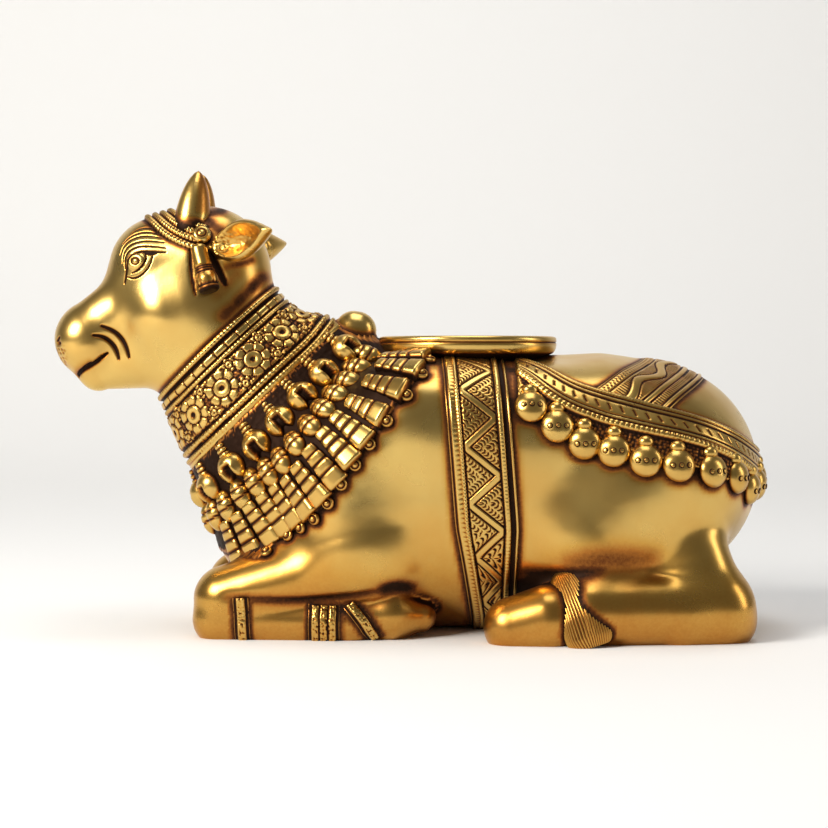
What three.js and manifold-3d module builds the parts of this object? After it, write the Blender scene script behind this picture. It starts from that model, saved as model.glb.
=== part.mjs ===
// Seated Nandi bull: a brass figure cast in one piece, with its harness and bells in the casting.
// Millimetres, +Z up. The origin is on the ground under the middle of the figure.
// The muzzle points to -X, and the bull's left side, where the tail comes round, is at -Y.
import * as THREE from 'three';
import { mergeVertices } from 'three/addons/utils/BufferGeometryUtils.js';
import Module from 'manifold-3d';

// Driving dimensions. The body is free form, drawn in hundredths of the figure's length.
const FIGURE_LENGTH = 260;
const SHARE = FIGURE_LENGTH / 100;

// Harness, each size its own
const COLLAR_WIDTH = 28.3;
const COLLAR_RAISE = 1.3;
const COLLAR_EDGE = 5;
const ROSETTE_COUNT = 12;
const ROSETTE_RADIUS = 5.8;
const NECK_BELL_COUNT = 15;
const NECK_BELL_RADIUS = 4.6;
const NECK_BELL_DROP = 10.5;
const LEAF_COUNT = 27;
const LEAF_LENGTH = 10;
const LEAF_WIDTH = 6.8;
const LEAF_DROP = 20.2;
const TASSEL_COUNT = 31;
const TASSEL_LENGTH = 14.8;
const TASSEL_WIDTH = 7;
const TASSEL_DROP = 33.2;
const TASSEL_BEAD_RADIUS = 2.4;
const PENDANT_RAISE = 2;
const ABOVE_LEGS = 31; // pendants lower than this would lie on the knees
const GIRTH_WIDTH_TOP = 22.5;
const GIRTH_WIDTH_FOOT = 16.4;
const GIRTH_RAISE = 1.4;
const GIRTH_EDGE = 3.4;
const ZIGZAG_COUNT = 6;
const ZIGZAG_BAR = 1.8;
const BREECHING_WIDTH = 12.5;
const BREECHING_RAISE = 1.4;
const BREECHING_BELL_RADIUS = 4.9;
const BREECHING_KNOB_RADIUS = 2.4;
const BREECHING_KNOB_RISE = 6;
const LOIN_STRAP_WIDTH = 24;
const LOIN_STRAP_RAISE = 1.1;
const BROWBAND_WIDTH = 9;
const BROWBAND_RAISE = 1.3;
const ANKLET_RAISE = 1;
const SADDLE_LENGTH = 65;
const SADDLE_WIDTH = 58;
const SADDLE_THICKNESS = 6;
const CARVED_LINE_WIDTH = 2;
const CARVED_LINE_HEIGHT = 0.9;
const SINK = 1.6; // how far an ornament runs into the body under it

// Fineness of the faceted skin, and the most faces that the finished figure may have
const MOST_FACES = 9900;
const HEAD_CELL = 3;
const BODY_CELL = 5;
const LEG_CELL = 3.4;

const vec = (x, y, z) => new THREE.Vector3(x * SHARE, y * SHARE, z * SHARE);
const clamp = THREE.MathUtils.clamp;
const lerp = THREE.MathUtils.lerp;
const steps = (count) => Array.from({ length: count }, (_, i) => i);

// The body is built up like a wax model, from tapered lumps that flow into each other.
// A lump runs between two points; `flat` narrows it across Y, and a pair has a twin at +Y.
function lump(from, to, fromRadius, toRadius, blend, { flat = 1, pair = false } = {}) {
  return {
    from: vec(...from),
    along: vec(...to).sub(vec(...from)),
    fromRadius: fromRadius * SHARE,
    toRadius: toRadius * SHARE,
    blend: blend * SHARE,
    flat,
    pair,
  };
}

const TRUNK = [
  lump([2, 0, 21], [25, 0, 21], 17.7, 17.5, 0.1),
  lump([1, 0, 15.6], [25, 0, 15.4], 15, 14.6, 3),
  lump([0, -9, 28.9], [27, -8.2, 27.2], 9.6, 9.3, 3, { pair: true }),
  lump([29, 0, 21.8], [33.6, 0, 22.4], 16.2, 15.2, 3.4),
  lump([18, 0, 30], [33.6, 0, 30], 8.3, 7.6, 1.5),
  lump([-27.5, 0, 40.3], [-13, 0, 24], 10.3, 17.3, 4, { flat: 0.74 }),
  lump([-15.6, 0, 14], [-9, 0, 15], 10.4, 12, 4),
  lump([-12.4, 0, 38], [-5, 0, 35.6], 5.9, 5.4, 2),
  lump([-7.9, 0, 42.3], [-7.4, 0, 42.2], 2.7, 2.7, 0.6),
];
const HIND_LEG = [
  lump([34, -8, 21.8], [25, -9.6, 13.5], 11.2, 9.6, 4, { pair: true }),
  lump([41.2, -14.8, 4.5], [24, -17, 4.6], 5.1, 4.9, 1.6, { pair: true }),
  lump([37.8, -12.4, 11], [40, -13.8, 6.4], 5.5, 4.9, 2.5, { pair: true }),
  lump([43, -14.5, 2.7], [36, -16, 2.8], 3.3, 3.6, 1.2, { pair: true }),
  lump([18.4, -17, 3.6], [13.8, -16.6, 2.6], 4.7, 4, 1, { pair: true }),
];
const FORE_LEG = [
  lump([-9, -9, 23], [-7, -11.4, 13.4], 9, 6.8, 4.5, { pair: true }),
  lump([-5, -11.6, 11.2], [-24.8, -10.2, 5.6], 5.8, 4.6, 3.4, { pair: true }),
  lump([-25.8, -10.8, 2.9], [-8.6, -12.6, 2.8], 3.7, 3.2, 0.7, { pair: true }),
  lump([-7, -12.4, 3], [-2.6, -11.6, 3.7], 3.2, 3.6, 0.8, { pair: true }),
  lump([-2.4, -12, 3.6], [1.3, -11, 3.4], 3.6, 2.3, 0.8, { pair: true }),
];
const HEAD = [
  lump([-28, 0, 43], [-28.6, 0, 50], 9.1, 8.7, 3.5, { flat: 0.86 }),
  lump([-29.4, 0, 51.2], [-28.6, 0, 51], 8.4, 8.4, 2, { flat: 0.94 }),
  lump([-34.8, 0, 50.8], [-34.4, 0, 50.2], 7.4, 7.4, 1.6, { flat: 0.98 }),
  lump([-35.2, 0, 47], [-44.4, 0, 41.8], 6.5, 4.7, 2.6, { flat: 0.88 }),
  lump([-45.3, 0, 40.9], [-45.1, 0, 40.4], 4.6, 4.6, 1.2, { flat: 1.06 }),
  lump([-43.8, 0, 36.6], [-36, 0, 40.2], 2.9, 6.6, 1.4, { flat: 0.86 }),
  lump([-33.2, -2.8, 44.4], [-31, -2.8, 45], 6, 6, 2.6, { pair: true }),
];
const CLAY = [...TRUNK, ...HIND_LEG, ...FORE_LEG, ...HEAD];

// A smooth meeting of two depths: the lower one, rounded over `blend` where they are close
function smoothMin(a, b, blend) {
  const near = Math.max(blend - Math.abs(a - b), 0) / blend;
  return Math.min(a, b) - (near * near * blend) / 4;
}

function distanceToLump({ from, along, fromRadius, toRadius, flat }, x, y, z) {
  const dx = x - from.x;
  const dy = (y - from.y) / flat;
  const dz = z - from.z;
  const ay = along.y / flat;
  const lengthSquared = along.x ** 2 + ay ** 2 + along.z ** 2;
  const t = clamp((dx * along.x + dy * ay + dz * along.z) / lengthSquared, 0, 1);
  const gap = Math.hypot(dx - along.x * t, dy - ay * t, dz - along.z * t);
  return gap - lerp(fromRadius, toRadius, t);
}

// How far a point lies outside the body's surface; negative inside
function depthAt(x, y, z) {
  let depth = Infinity;
  for (const piece of CLAY) {
    let own = distanceToLump(piece, x, y, z);
    if (piece.pair) own = smoothMin(own, distanceToLump(piece, x, -y, z), piece.blend);
    depth = depth === Infinity ? own : smoothMin(depth, own, piece.blend);
  }
  return depth;
}

const PROBE = 0.05;
function outwardAt(p) {
  return new THREE.Vector3(
    depthAt(p.x + PROBE, p.y, p.z) - depthAt(p.x - PROBE, p.y, p.z),
    depthAt(p.x, p.y + PROBE, p.z) - depthAt(p.x, p.y - PROBE, p.z),
    depthAt(p.x, p.y, p.z + PROBE) - depthAt(p.x, p.y, p.z - PROBE),
  ).divideScalar(2 * PROBE);
}

// Moves a nearby point onto the surface, along the slope of the depth
function settle(point) {
  const p = point.clone();
  for (let i = 0; i < 5; i += 1) {
    const slope = outwardAt(p);
    p.addScaledVector(slope, -depthAt(p.x, p.y, p.z) / slope.lengthSq());
  }
  return p;
}

// The surface met by a straight line from inside the body
function cast(origin, direction) {
  const p = origin.clone();
  const step = 0.5;
  while (depthAt(p.x, p.y, p.z) < 0) p.addScaledVector(direction, step);
  return settle(p);
}

// Faces between four neighbouring points, split along the shorter diagonal
function pushQuad(faces, points, a, b, c, d) {
  const short = points[a].distanceToSquared(points[c]) <= points[b].distanceToSquared(points[d]);
  if (short) faces.push(a, b, c, a, c, d);
  else faces.push(a, b, d, b, c, d);
}

function geometryOf(points, faces) {
  const geometry = new THREE.BufferGeometry();
  const flat = points.flatMap((p) => p.toArray());
  geometry.setAttribute('position', new THREE.Float32BufferAttribute(flat, 3));
  geometry.setIndex(faces);
  return geometry;
}

// Grid lines from `start`, each zone [end, cell] divided evenly into cells of about that size
function gridLines(start, zones) {
  const lines = [start];
  for (const [end, cell] of zones) {
    const from = lines[lines.length - 1];
    const count = Math.max(1, Math.round((end - from) / cell));
    for (const i of steps(count)) lines.push(from + ((end - from) * (i + 1)) / count);
  }
  return lines;
}

// The skin of the body, settled on its surface. Each grid cell that the surface crosses has one point for
// every group of joined corners that lies inside the body, so that sheets that pass close by stay apart.
const CORNERS = steps(8).map((n) => [(n >> 2) & 1, (n >> 1) & 1, n & 1]);
const CELL_EDGES = steps(8).flatMap((n) => [4, 2, 1].filter((bit) => !(n & bit)).map((bit) => [n, n | bit]));

const FILL_DEPTH = 0.01;

// The lowest corner of the group that each inside corner belongs to
function cornerGroups(inside) {
  const group = steps(8);
  for (const round of steps(3)) {
    for (const [a, b] of round % 2 ? [...CELL_EDGES].reverse() : CELL_EDGES) {
      if (inside[a] && inside[b]) group[a] = group[b] = Math.min(group[a], group[b]);
    }
  }
  return group;
}

function skin(lines) {
  const counts = lines.map((l) => l.length);
  const strides = [counts[1] * counts[2], counts[2], 1];
  const values = lines[0].flatMap((x) => lines[1].flatMap((y) => lines[2].map((z) => depthAt(x, y, z))));
  const cornerStride = CORNERS.map((c) => c[0] * strides[0] + c[1] * strides[1] + c[2]);
  const points = [];
  const pointAt = new Map();

  const cells = (from, visit) => {
    for (let i = from; i < counts[0] - 1; i += 1) {
      for (let j = from; j < counts[1] - 1; j += 1) {
        for (let k = from; k < counts[2] - 1; k += 1) visit([i, j, k], i * strides[0] + j * strides[1] + k);
      }
    }
  };

  // A crease too narrow for the grid is filled: no face of a cell has just two opposite corners inside
  for (let filled = true; filled;) {
    filled = false;
    cells(0, (cell, here) => {
      for (const [u, v] of [[0, 1], [1, 2], [2, 0]]) {
        const face = [here, here + strides[u], here + strides[u] + strides[v], here + strides[v]];
        const [a, b, c, d] = face.map((node) => values[node] < 0);
        if (a !== c || b !== d || a === b) continue;
        const [first, second] = a ? [face[1], face[3]] : [face[0], face[2]];
        values[values[first] < values[second] ? first : second] = -FILL_DEPTH;
        filled = true;
      }
    });
  }

  cells(0, (cell, here) => {
    const value = cornerStride.map((stride) => values[here + stride]);
    const inside = value.map((v) => v < 0);
    const place = (n) => new THREE.Vector3(...cell.map((c, axis) => lines[axis][c + CORNERS[n][axis]]));
    const group = cornerGroups(inside);
    const crossings = new Map();
    for (const [a, b] of CELL_EDGES) {
      if (inside[a] === inside[b]) continue;
      const owner = group[inside[a] ? a : b];
      const met = place(a).lerp(place(b), value[a] / (value[a] - value[b]));
      crossings.set(owner, [...(crossings.get(owner) ?? []), met]);
    }
    for (const [owner, met] of crossings) {
      const middle = met.reduce((sum, p) => sum.add(p), new THREE.Vector3()).divideScalar(met.length);
      steps(8).filter((n) => inside[n] && group[n] === owner)
        .forEach((n) => pointAt.set(here * 8 + n, points.length));
      points.push(settle(middle));
    }
  });

  const faces = [];
  cells(1, (cell, here) => {
    for (const axis of [0, 1, 2]) {
      const far = here + strides[axis];
      const outward = values[here] < 0;
      if (outward === values[far] < 0) continue;
      const u = (axis + 1) % 3;
      const v = (axis + 2) % 3;
      const node = outward ? here : far;
      const around = [[1, 1], [0, 1], [0, 0], [1, 0]].map(([du, dv]) => {
        const owner = here - du * strides[u] - dv * strides[v];
        return pointAt.get(owner * 8 + cornerStride.indexOf(node - owner));
      });
      if (!outward) around.reverse();
      pushQuad(faces, points, ...around);
    }
  });
  return geometryOf(points, faces);
}

// A closed body through a row of point loops: a ring, or an open run with its two ends capped
function loft(loops, ring = false) {
  const points = loops.flat();
  const size = loops[0].length;
  const faces = [];
  const spans = ring ? loops.length : loops.length - 1;
  for (const i of steps(spans)) {
    const next = (i + 1) % loops.length;
    for (const j of steps(size)) {
      const k = (j + 1) % size;
      pushQuad(faces, points, i * size + j, i * size + k, next * size + k, next * size + j);
    }
  }
  if (!ring) {
    for (const [i, turned] of [[0, true], [loops.length - 1, false]]) {
      const hub = points.length;
      points.push(loops[i].reduce((sum, p) => sum.add(p), new THREE.Vector3()).divideScalar(size));
      for (const j of steps(size)) {
        const pair = [i * size + j, i * size + ((j + 1) % size)];
        if (turned) pair.reverse();
        faces.push(hub, ...pair);
      }
    }
  }
  return geometryOf(points, faces);
}

// A round bar with its own radius at each point
function taper(points, radii, sides, flat = 1) {
  const curve = new THREE.CatmullRomCurve3(points);
  const loops = radii.map((radius, i) => {
    const t = i / (radii.length - 1);
    const along = curve.getTangent(t);
    const across = new THREE.Vector3(0, 1, 0).cross(along).normalize();
    const other = along.clone().cross(across);
    return steps(sides).map((j) => {
      const angle = (j / sides) * 2 * Math.PI;
      return curve.getPoint(t)
        .addScaledVector(across, Math.cos(angle) * radius)
        .addScaledVector(other, Math.sin(angle) * radius * flat);
    });
  });
  return loft(loops);
}

// Stations along a line on the body: where it lies, which way is out, and which way is across
function stationsOn(points, ring) {
  const onBody = points.map(settle);
  const last = onBody.length - 1;
  return onBody.map((at, i) => {
    const before = onBody[ring ? (i + last) % (last + 1) : Math.max(i - 1, 0)];
    const after = onBody[ring ? (i + 1) % (last + 1) : Math.min(i + 1, last)];
    const out = outwardAt(at).normalize();
    const along = after.clone().sub(before).projectOnPlane(out).normalize();
    return { at, out, along, side: out.clone().cross(along) };
  });
}

function trace(points, count) {
  const curve = new THREE.CatmullRomCurve3(points.map((p) => settle(vec(...p))));
  return stationsOn(curve.getSpacedPoints(count - 1));
}

const mirrored = (points) => points.map(([x, y, z]) => [x, -y, z]);

// A band lying on the body. The profile goes across it: [share of the half width, height]
function band(stations, width, profile, ring = false) {
  const loops = stations.map(({ at, out, side }, i) => {
    const half = (Array.isArray(width) ? width[i] : width) / 2;
    const foot = (across) => settle(at.clone().addScaledVector(side, across * half));
    const top = profile.map(([across, height]) => foot(across).addScaledVector(out, height));
    const under = [1, 0.4, -0.4, -1].map((across) => foot(across).addScaledVector(out, -SINK));
    return [...top, ...under];
  });
  return loft(loops, ring);
}

// A flat field between two raised edges
function edgedProfile(width, raise, edge) {
  const inner = 1 - (2 * edge) / width;
  const lip = raise * 1.3;
  const field = raise * 0.4;
  return [[-1, lip], [-inner, lip], [-inner, field], [inner, field], [inner, lip], [1, lip]];
}

// Three ropes side by side
const ropeProfile = (raise) => [-1, -0.66, -0.33, 0, 0.33, 0.66, 1]
  .map((across, i) => [across, i % 2 ? raise : raise * 0.3]);

// A raised line with a sharp crest; a negative height cuts a groove
function ridge(points, width, height) {
  const foot = -0.4 * height;
  return loft(stationsOn(points).map(({ at, out, side }) => {
    const corner = (across, up) => at.clone().addScaledVector(side, across).addScaledVector(out, up);
    return [corner(-width / 2, foot), corner(0, height), corner(width / 2, foot)];
  }));
}

// Sets a small shape on the body: its Z goes out of the surface and its Y along it
function setOn(geometry, { at, out, side }, lift = 0) {
  const y = side.clone().projectOnPlane(out).normalize();
  const x = y.clone().cross(out);
  const basis = new THREE.Matrix4().makeBasis(x, y, out).setPosition(at.clone().addScaledVector(out, lift));
  return geometry.applyMatrix4(basis);
}

// Rings round the neck: each is a plane square to the neck's axis, `down` millimetres below the collar's top
const NECK_TOP = vec(-27.6, 0, 40.4);
const NECK_DOWN = new THREE.Vector3(0.69, 0, -0.724).normalize();
const NAPE = new THREE.Vector3(0.724, 0, 0.69).normalize();
const LEFT = new THREE.Vector3(0, -1, 0);

function neckStation(down, angle) {
  const centre = NECK_TOP.clone().addScaledVector(NECK_DOWN, down);
  const direction = NAPE.clone().multiplyScalar(Math.cos(angle)).addScaledVector(LEFT, Math.sin(angle));
  const at = cast(centre, direction);
  const out = outwardAt(at).normalize();
  return { at, out, side: NECK_DOWN.clone().projectOnPlane(out).normalize() };
}

// The necklace hangs deepest at the sides: [angle from the nape, share of the full drop]
const HANG = [[0, 0.62], [Math.PI * 0.28, 0.84], [Math.PI * 0.58, 1], [Math.PI, 0.84]];

function hangAt(angle) {
  const turn = Math.abs(Math.PI - Math.abs(angle - Math.PI));
  const next = Math.max(1, HANG.findIndex(([end]) => turn <= end + PROBE));
  const [[from, low], [to, high]] = [HANG[next - 1], HANG[next]];
  return lerp(low, high, clamp((turn - from) / (to - from), 0, 1));
}

// Pendants keep clear of the hump and the saddle, so they leave a gap at the nape
function neckRow(count, drop, gap) {
  return steps(count).map((i) => {
    const angle = lerp(gap, 2 * Math.PI - gap, (i + 0.5) / count);
    return neckStation(COLLAR_WIDTH + drop * hangAt(angle), angle);
  }).filter(({ at }) => at.z > ABOVE_LEGS);
}

function neckRing(down, count) {
  return stationsOn(steps(count).map((i) => neckStation(down, (i / count) * 2 * Math.PI).at), true);
}

// A round bell, and a small bead, as few-sided solids
const ball = (radius) => new THREE.SphereGeometry(radius, 7, 4).rotateX(Math.PI / 2);
const bead = (radius) => new THREE.OctahedronGeometry(radius);

// A round flower with a raised hub, its foot sunk in the body under the collar
function rosette() {
  const petals = new THREE.CylinderGeometry(ROSETTE_RADIUS * 0.78, ROSETTE_RADIUS, 2 * SINK, 8);
  const hub = new THREE.CylinderGeometry(ROSETTE_RADIUS * 0.18, ROSETTE_RADIUS * 0.4, COLLAR_RAISE, 6);
  return [petals, hub.translate(0, SINK + COLLAR_RAISE * 0.3, 0)].map((part) => part.rotateX(Math.PI / 2));
}

function collar() {
  const middle = COLLAR_WIDTH / 2;
  const profile = edgedProfile(COLLAR_WIDTH, COLLAR_RAISE, COLLAR_EDGE);
  const rosettes = steps(ROSETTE_COUNT).flatMap((i) => {
    const station = neckStation(middle, ((i + 0.5) / ROSETTE_COUNT) * 2 * Math.PI);
    return rosette().map((part) => setOn(part, station));
  });
  return [band(neckRing(middle, 26), COLLAR_WIDTH, profile, true), ...rosettes];
}

// A square tassel, wider at its foot and flattened against the chest
const TASSEL_TAPER = 0.64;
const TASSEL_FLATNESS = 0.6;

function tassel() {
  const foot = TASSEL_WIDTH / Math.SQRT2;
  const body = new THREE.CylinderGeometry(foot, foot * TASSEL_TAPER, TASSEL_LENGTH, 4);
  return body.rotateY(Math.PI / 4).scale(1, 1, TASSEL_FLATNESS);
}

// The angle at each side of the nape that the rows leave bare
const BELL_GAP = 0.2;
const LEAF_GAP = 0.26;
const TASSEL_GAP = 0.28;

// Three rows hang below the collar: round bells, ribbed leaves, and tassels that end in a bead
function necklace() {
  const bells = neckRow(NECK_BELL_COUNT, NECK_BELL_DROP, BELL_GAP)
    .map((station) => setOn(ball(NECK_BELL_RADIUS).scale(1, 1, 0.8), station));
  const leaves = neckRow(LEAF_COUNT, LEAF_DROP, LEAF_GAP)
    .map((station) => setOn(ball(1).scale(LEAF_WIDTH / 2, LEAF_LENGTH / 2, PENDANT_RAISE), station));
  const tassels = neckRow(TASSEL_COUNT, TASSEL_DROP, TASSEL_GAP)
    .map((station) => setOn(tassel(), station));
  const beadDrop = TASSEL_DROP + TASSEL_LENGTH / 2 + TASSEL_BEAD_RADIUS * 0.6;
  const beads = neckRow(TASSEL_COUNT, beadDrop, TASSEL_GAP)
    .map((station) => setOn(ball(TASSEL_BEAD_RADIUS), station));
  return [...bells, ...leaves, ...tassels, ...beads];
}

// The girth goes round the barrel in a plane that leans back towards its foot
const GIRTH_CENTRE = vec(9.9, 0, 21);
const GIRTH_LEAN = 0.08;
const GIRTH_STATIONS = 28;

// It keeps its width down the flank, and narrows between these heights: 1 is the back, and -1 the belly
const GIRTH_NARROWS = { from: -0.3, to: -0.9 };

function girthWidthAt(turn) {
  const { from, to } = GIRTH_NARROWS;
  const share = clamp((Math.cos(turn) - from) / (to - from), 0, 1);
  return lerp(GIRTH_WIDTH_TOP, GIRTH_WIDTH_FOOT, share);
}

// `turn` goes round from the top over the left side, and `across` is measured back from the middle
function girthPoint(turn, across) {
  const direction = new THREE.Vector3(-Math.cos(turn) * GIRTH_LEAN, -Math.sin(turn), Math.cos(turn));
  return cast(GIRTH_CENTRE.clone().add(new THREE.Vector3(across, 0, 0)), direction.normalize());
}

// The zigzag on each flank, from under the saddle to under the belly
const ZIGZAG_FROM = 0.48;
const ZIGZAG_TO = 2.88;

function zigzag(side) {
  const half = (turn) => girthWidthAt(turn) / 2 - GIRTH_EDGE;
  const turnAt = (n) => lerp(ZIGZAG_FROM, ZIGZAG_TO, n / (2 * ZIGZAG_COUNT)) * side;
  return steps(2 * ZIGZAG_COUNT).map((i) => {
    const slant = i % 2 ? 1 : -1;
    const points = [0, 0.5, 1].map((share) => {
      const turn = turnAt(i + share);
      return girthPoint(turn, slant * (1 - 2 * share) * half(turn));
    });
    return ridge(points, ZIGZAG_BAR, GIRTH_RAISE * 1.2);
  });
}

function girth() {
  const turns = steps(GIRTH_STATIONS).map((i) => (i / GIRTH_STATIONS) * 2 * Math.PI);
  const stations = stationsOn(turns.map((turn) => girthPoint(turn, 0)), true);
  const profile = edgedProfile(GIRTH_WIDTH_TOP, GIRTH_RAISE, GIRTH_EDGE);
  return [band(stations, turns.map(girthWidthAt), profile, true), ...zigzag(1), ...zigzag(-1)];
}

// The breeching runs from the girth round the rump and back, and carries round bells
const BREECHING_LEFT = [[13.4, -9.5, 38.4], [15.5, -11.5, 36.9], [20.3, -15.6, 33.7], [26.5, -17.4, 32.1],
  [32.9, -17.4, 30.4], [39.5, -15.6, 28], [45.1, -11, 25.5], [48.6, -5, 23.8], [49.4, 0, 23.2]];
const BREECHING = [...BREECHING_LEFT, ...mirrored(BREECHING_LEFT).reverse().slice(1)];

// Where each bell on the left lies, and the one in the middle of the rump
const BELLS_LEFT = [[16, -16.4, 31.5], [19.5, -17.8, 29.3], [23.1, -18.4, 27.1], [26.9, -18.5, 26.1],
  [31.3, -18.4, 24.7], [35.9, -17.4, 23.9], [40.2, -15.4, 23.1], [43.8, -12.4, 22.3], [46.4, -8.8, 20],
  [48.6, -4.6, 18.8], [49.2, 0, 18.4]];
const BELLS = [...BELLS_LEFT, ...mirrored(BELLS_LEFT).slice(0, -1)];

function breeching() {
  const profile = edgedProfile(BREECHING_WIDTH, BREECHING_RAISE, BREECHING_WIDTH / 4);
  const strap = band(trace(BREECHING, 30), BREECHING_WIDTH, profile);
  const bells = BELLS.flatMap((place) => {
    const down = new THREE.Vector3(0, 0, -1);
    const stationAt = (p) => {
      const at = settle(p);
      const out = outwardAt(at).normalize();
      return { at, out, side: down.clone().projectOnPlane(out).normalize() };
    };
    const bell = stationAt(vec(...place));
    const knob = stationAt(bell.at.clone().addScaledVector(bell.side, -BREECHING_KNOB_RISE));
    return [
      setOn(ball(BREECHING_KNOB_RADIUS), knob, BREECHING_KNOB_RADIUS * 0.4),
      setOn(ball(BREECHING_BELL_RADIUS).scale(1, 1, 0.7), bell),
    ];
  });
  return [strap, ...bells];
}

// The loin strap crosses the rump as a chevron that points to the tail
const LOIN_LEFT = [[27.8, -17.4, 31.8], [30.7, -14.8, 33.9], [33.8, -10.4, 36], [36.4, -5, 37.4],
  [37.4, 0, 37.6]];
const LOIN_STRAP = [...LOIN_LEFT, ...mirrored(LOIN_LEFT).reverse().slice(1)];

function loinStrap() {
  const profile = edgedProfile(LOIN_STRAP_WIDTH, LOIN_STRAP_RAISE, LOIN_STRAP_WIDTH / 5);
  return [band(trace(LOIN_STRAP, 13), LOIN_STRAP_WIDTH, profile)];
}

const BROW_LEFT = [[-28.4, -8.2, 54.6], [-30.3, -7.8, 54.9], [-33, -6.2, 56.6], [-35, -3, 58.5],
  [-35.9, 0, 59.2]];
const BROWBAND = [...BROW_LEFT, ...mirrored(BROW_LEFT).reverse().slice(1)];

const browband = () => [band(trace(BROWBAND, 13), BROWBAND_WIDTH, ropeProfile(BROWBAND_RAISE))];

// The saddle is an oval pad with a rounded rim, lying on the broad of the back
const SADDLE_CENTRE = vec(8.1, 0, 41.4);

function saddle() {
  const radius = SADDLE_LENGTH / 2;
  const thick = SADDLE_THICKNESS;
  const profile = [[0, -thick * 1.8], [radius * 0.82, -thick * 1.8], [radius * 0.9, -thick],
    [radius, -thick * 0.8], [radius, -thick * 0.3], [radius * 0.93, 0], [0, 0]];
  const pad = new THREE.LatheGeometry(profile.map(([x, y]) => new THREE.Vector2(x, y)), 28);
  pad.rotateX(Math.PI / 2).scale(1, SADDLE_WIDTH / SADDLE_LENGTH, 1);
  return [pad.translate(...SADDLE_CENTRE.toArray())];
}

// Two upright bands and a slanting one on each fore shank
const ANKLETS_LEFT = [
  { line: [[-22.4, -13, 6], [-22.5, -14.6, 3.4], [-22.4, -14.4, 0.8]], width: 6 },
  { line: [[-11.5, -14, 5.8], [-11.5, -15.8, 3], [-11.5, -15.4, 0.8]], width: 11.5 },
  { line: [[-8, -13.6, 6], [-6.4, -15.6, 3.6], [-4.8, -15, 1]], width: 6 },
];

function anklets() {
  return ANKLETS_LEFT.flatMap(({ line, width }) => {
    const profile = edgedProfile(width, ANKLET_RAISE, width / 4);
    return [line, mirrored(line)].map((points) => band(trace(points, 6), width, profile));
  });
}

// A line drawn on the left side of the head, [X, Z] as seen from that side, and its twin on the right
function sideLines(points, count) {
  const drawn = points.map(([x, z]) => cast(vec(x, 0, z), LEFT));
  const left = new THREE.CatmullRomCurve3(drawn).getSpacedPoints(count - 1);
  return [left, left.map((p) => p.clone().setY(-p.y))];
}

const EYELIDS = [
  [[-38.9, 49.7], [-38.4, 52.2], [-37, 53], [-35.1, 53], [-33.4, 52.9]],
  [[-38.8, 49.5], [-37.6, 49.2], [-36.2, 50], [-35, 52.2]],
];
const BROWS = [
  [[-39.7, 51.4], [-39.1, 53.8], [-37.1, 54.8], [-33.9, 55]],
  [[-40.8, 51.2], [-39.9, 54], [-38, 55.9], [-35.4, 56.2]],
];
const CHEEK_FOLDS = [
  [[-42.7, 42.8], [-39.9, 41], [-38.9, 38.4]],
  [[-43.8, 41.6], [-41.3, 40.4], [-40.4, 38.2]],
];
const MOUTH = [[-46.4, 36.4], [-44.2, 37.7], [-42, 39.3]];

const raisedLines = () => [...EYELIDS, ...BROWS]
  .flatMap((line) => sideLines(line, 7))
  .map((points) => ridge(points, CARVED_LINE_WIDTH, CARVED_LINE_HEIGHT));

const cutLines = () => [...CHEEK_FOLDS, MOUTH]
  .flatMap((line) => sideLines(line, 6))
  .map((points) => ridge(points, CARVED_LINE_WIDTH, -CARVED_LINE_HEIGHT));

// Each side of the head has a horn, a cupped ear, an eye, and a tassel that hangs from the browband
function headSide(sign) {
  const on = (x, y, z) => vec(x, y * sign, z);
  const horn = taper([on(-30.4, 4.5, 57), on(-30.1, 4.1, 60), on(-29.5, 2.9, 63.9)],
    [2.1, 2.0, 1.65, 1.15, 0.4].map((r) => r * SHARE), 8);
  const station = (at) => {
    const settled = settle(at);
    return { at: settled, out: outwardAt(settled).normalize(), side: new THREE.Vector3(0, 0, -1) };
  };
  const knob = setOn(new THREE.OctahedronGeometry(1.2 * SHARE, 1), station(on(-28.4, 8.2, 55)));
  const tag = taper([on(-28.4, 8.6, 54), on(-27.8, 9.2, 50.5), on(-27, 8.9, 46.8)],
    [0.9, 1.35, 1.3, 1.45, 0.9].map((r) => r * SHARE), 7);
  const eyeball = setOn(ball(1).scale(1.9 * SHARE, 1.4 * SHARE, 0.6 * SHARE), station(on(-37, 7, 51.2)));
  return [horn, knob, tag, eyeball, ear(on)];
}

// A leaf-shaped ear: a rounded back, and a hollow that faces forwards and out
function ear(on) {
  const root = on(-27, 7, 53.2);
  const tip = on(-18.4, 16, 55.4);
  const along = tip.clone().sub(root).normalize();
  const open = on(-0.62, 0.66, 0.1).projectOnPlane(along).normalize();
  const across = along.clone().cross(open);
  const stops = 8;
  const loops = steps(stops).map((i) => {
    const t = i / (stops - 1);
    const half = (0.35 + 2.3 * Math.sin(Math.PI * Math.min(1, 0.12 + 0.86 * t)) ** 0.8) * SHARE;
    const centre = root.clone().lerp(tip, t);
    const arc = (share, depth) => centre.clone()
      .addScaledVector(across, share * half)
      .addScaledVector(open, -depth * half * (1 - share * share));
    return [...[-1, -0.55, 0, 0.55, 1].map((s) => arc(s, 1)), ...[0.7, 0, -0.7].map((s) => arc(s, 0.45))];
  });
  return loft(loops);
}

// The tail comes round under the left thigh, and its tuft falls over the leg to the ground
const tailTuft = () => [
  taper([vec(20.9, -17.2, 8.5), vec(22.2, -19.4, 5.6), vec(23.2, -20.6, 2.4), vec(23.8, -20.8, 0.5)],
    [1.6, 2.9, 3.3, 3.1, 1.8].map((r) => r * SHARE), 8, 0.6),
];

const wasm = await Module();
wasm.setup();
const MERGE_DISTANCE = 1e-4;

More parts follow.
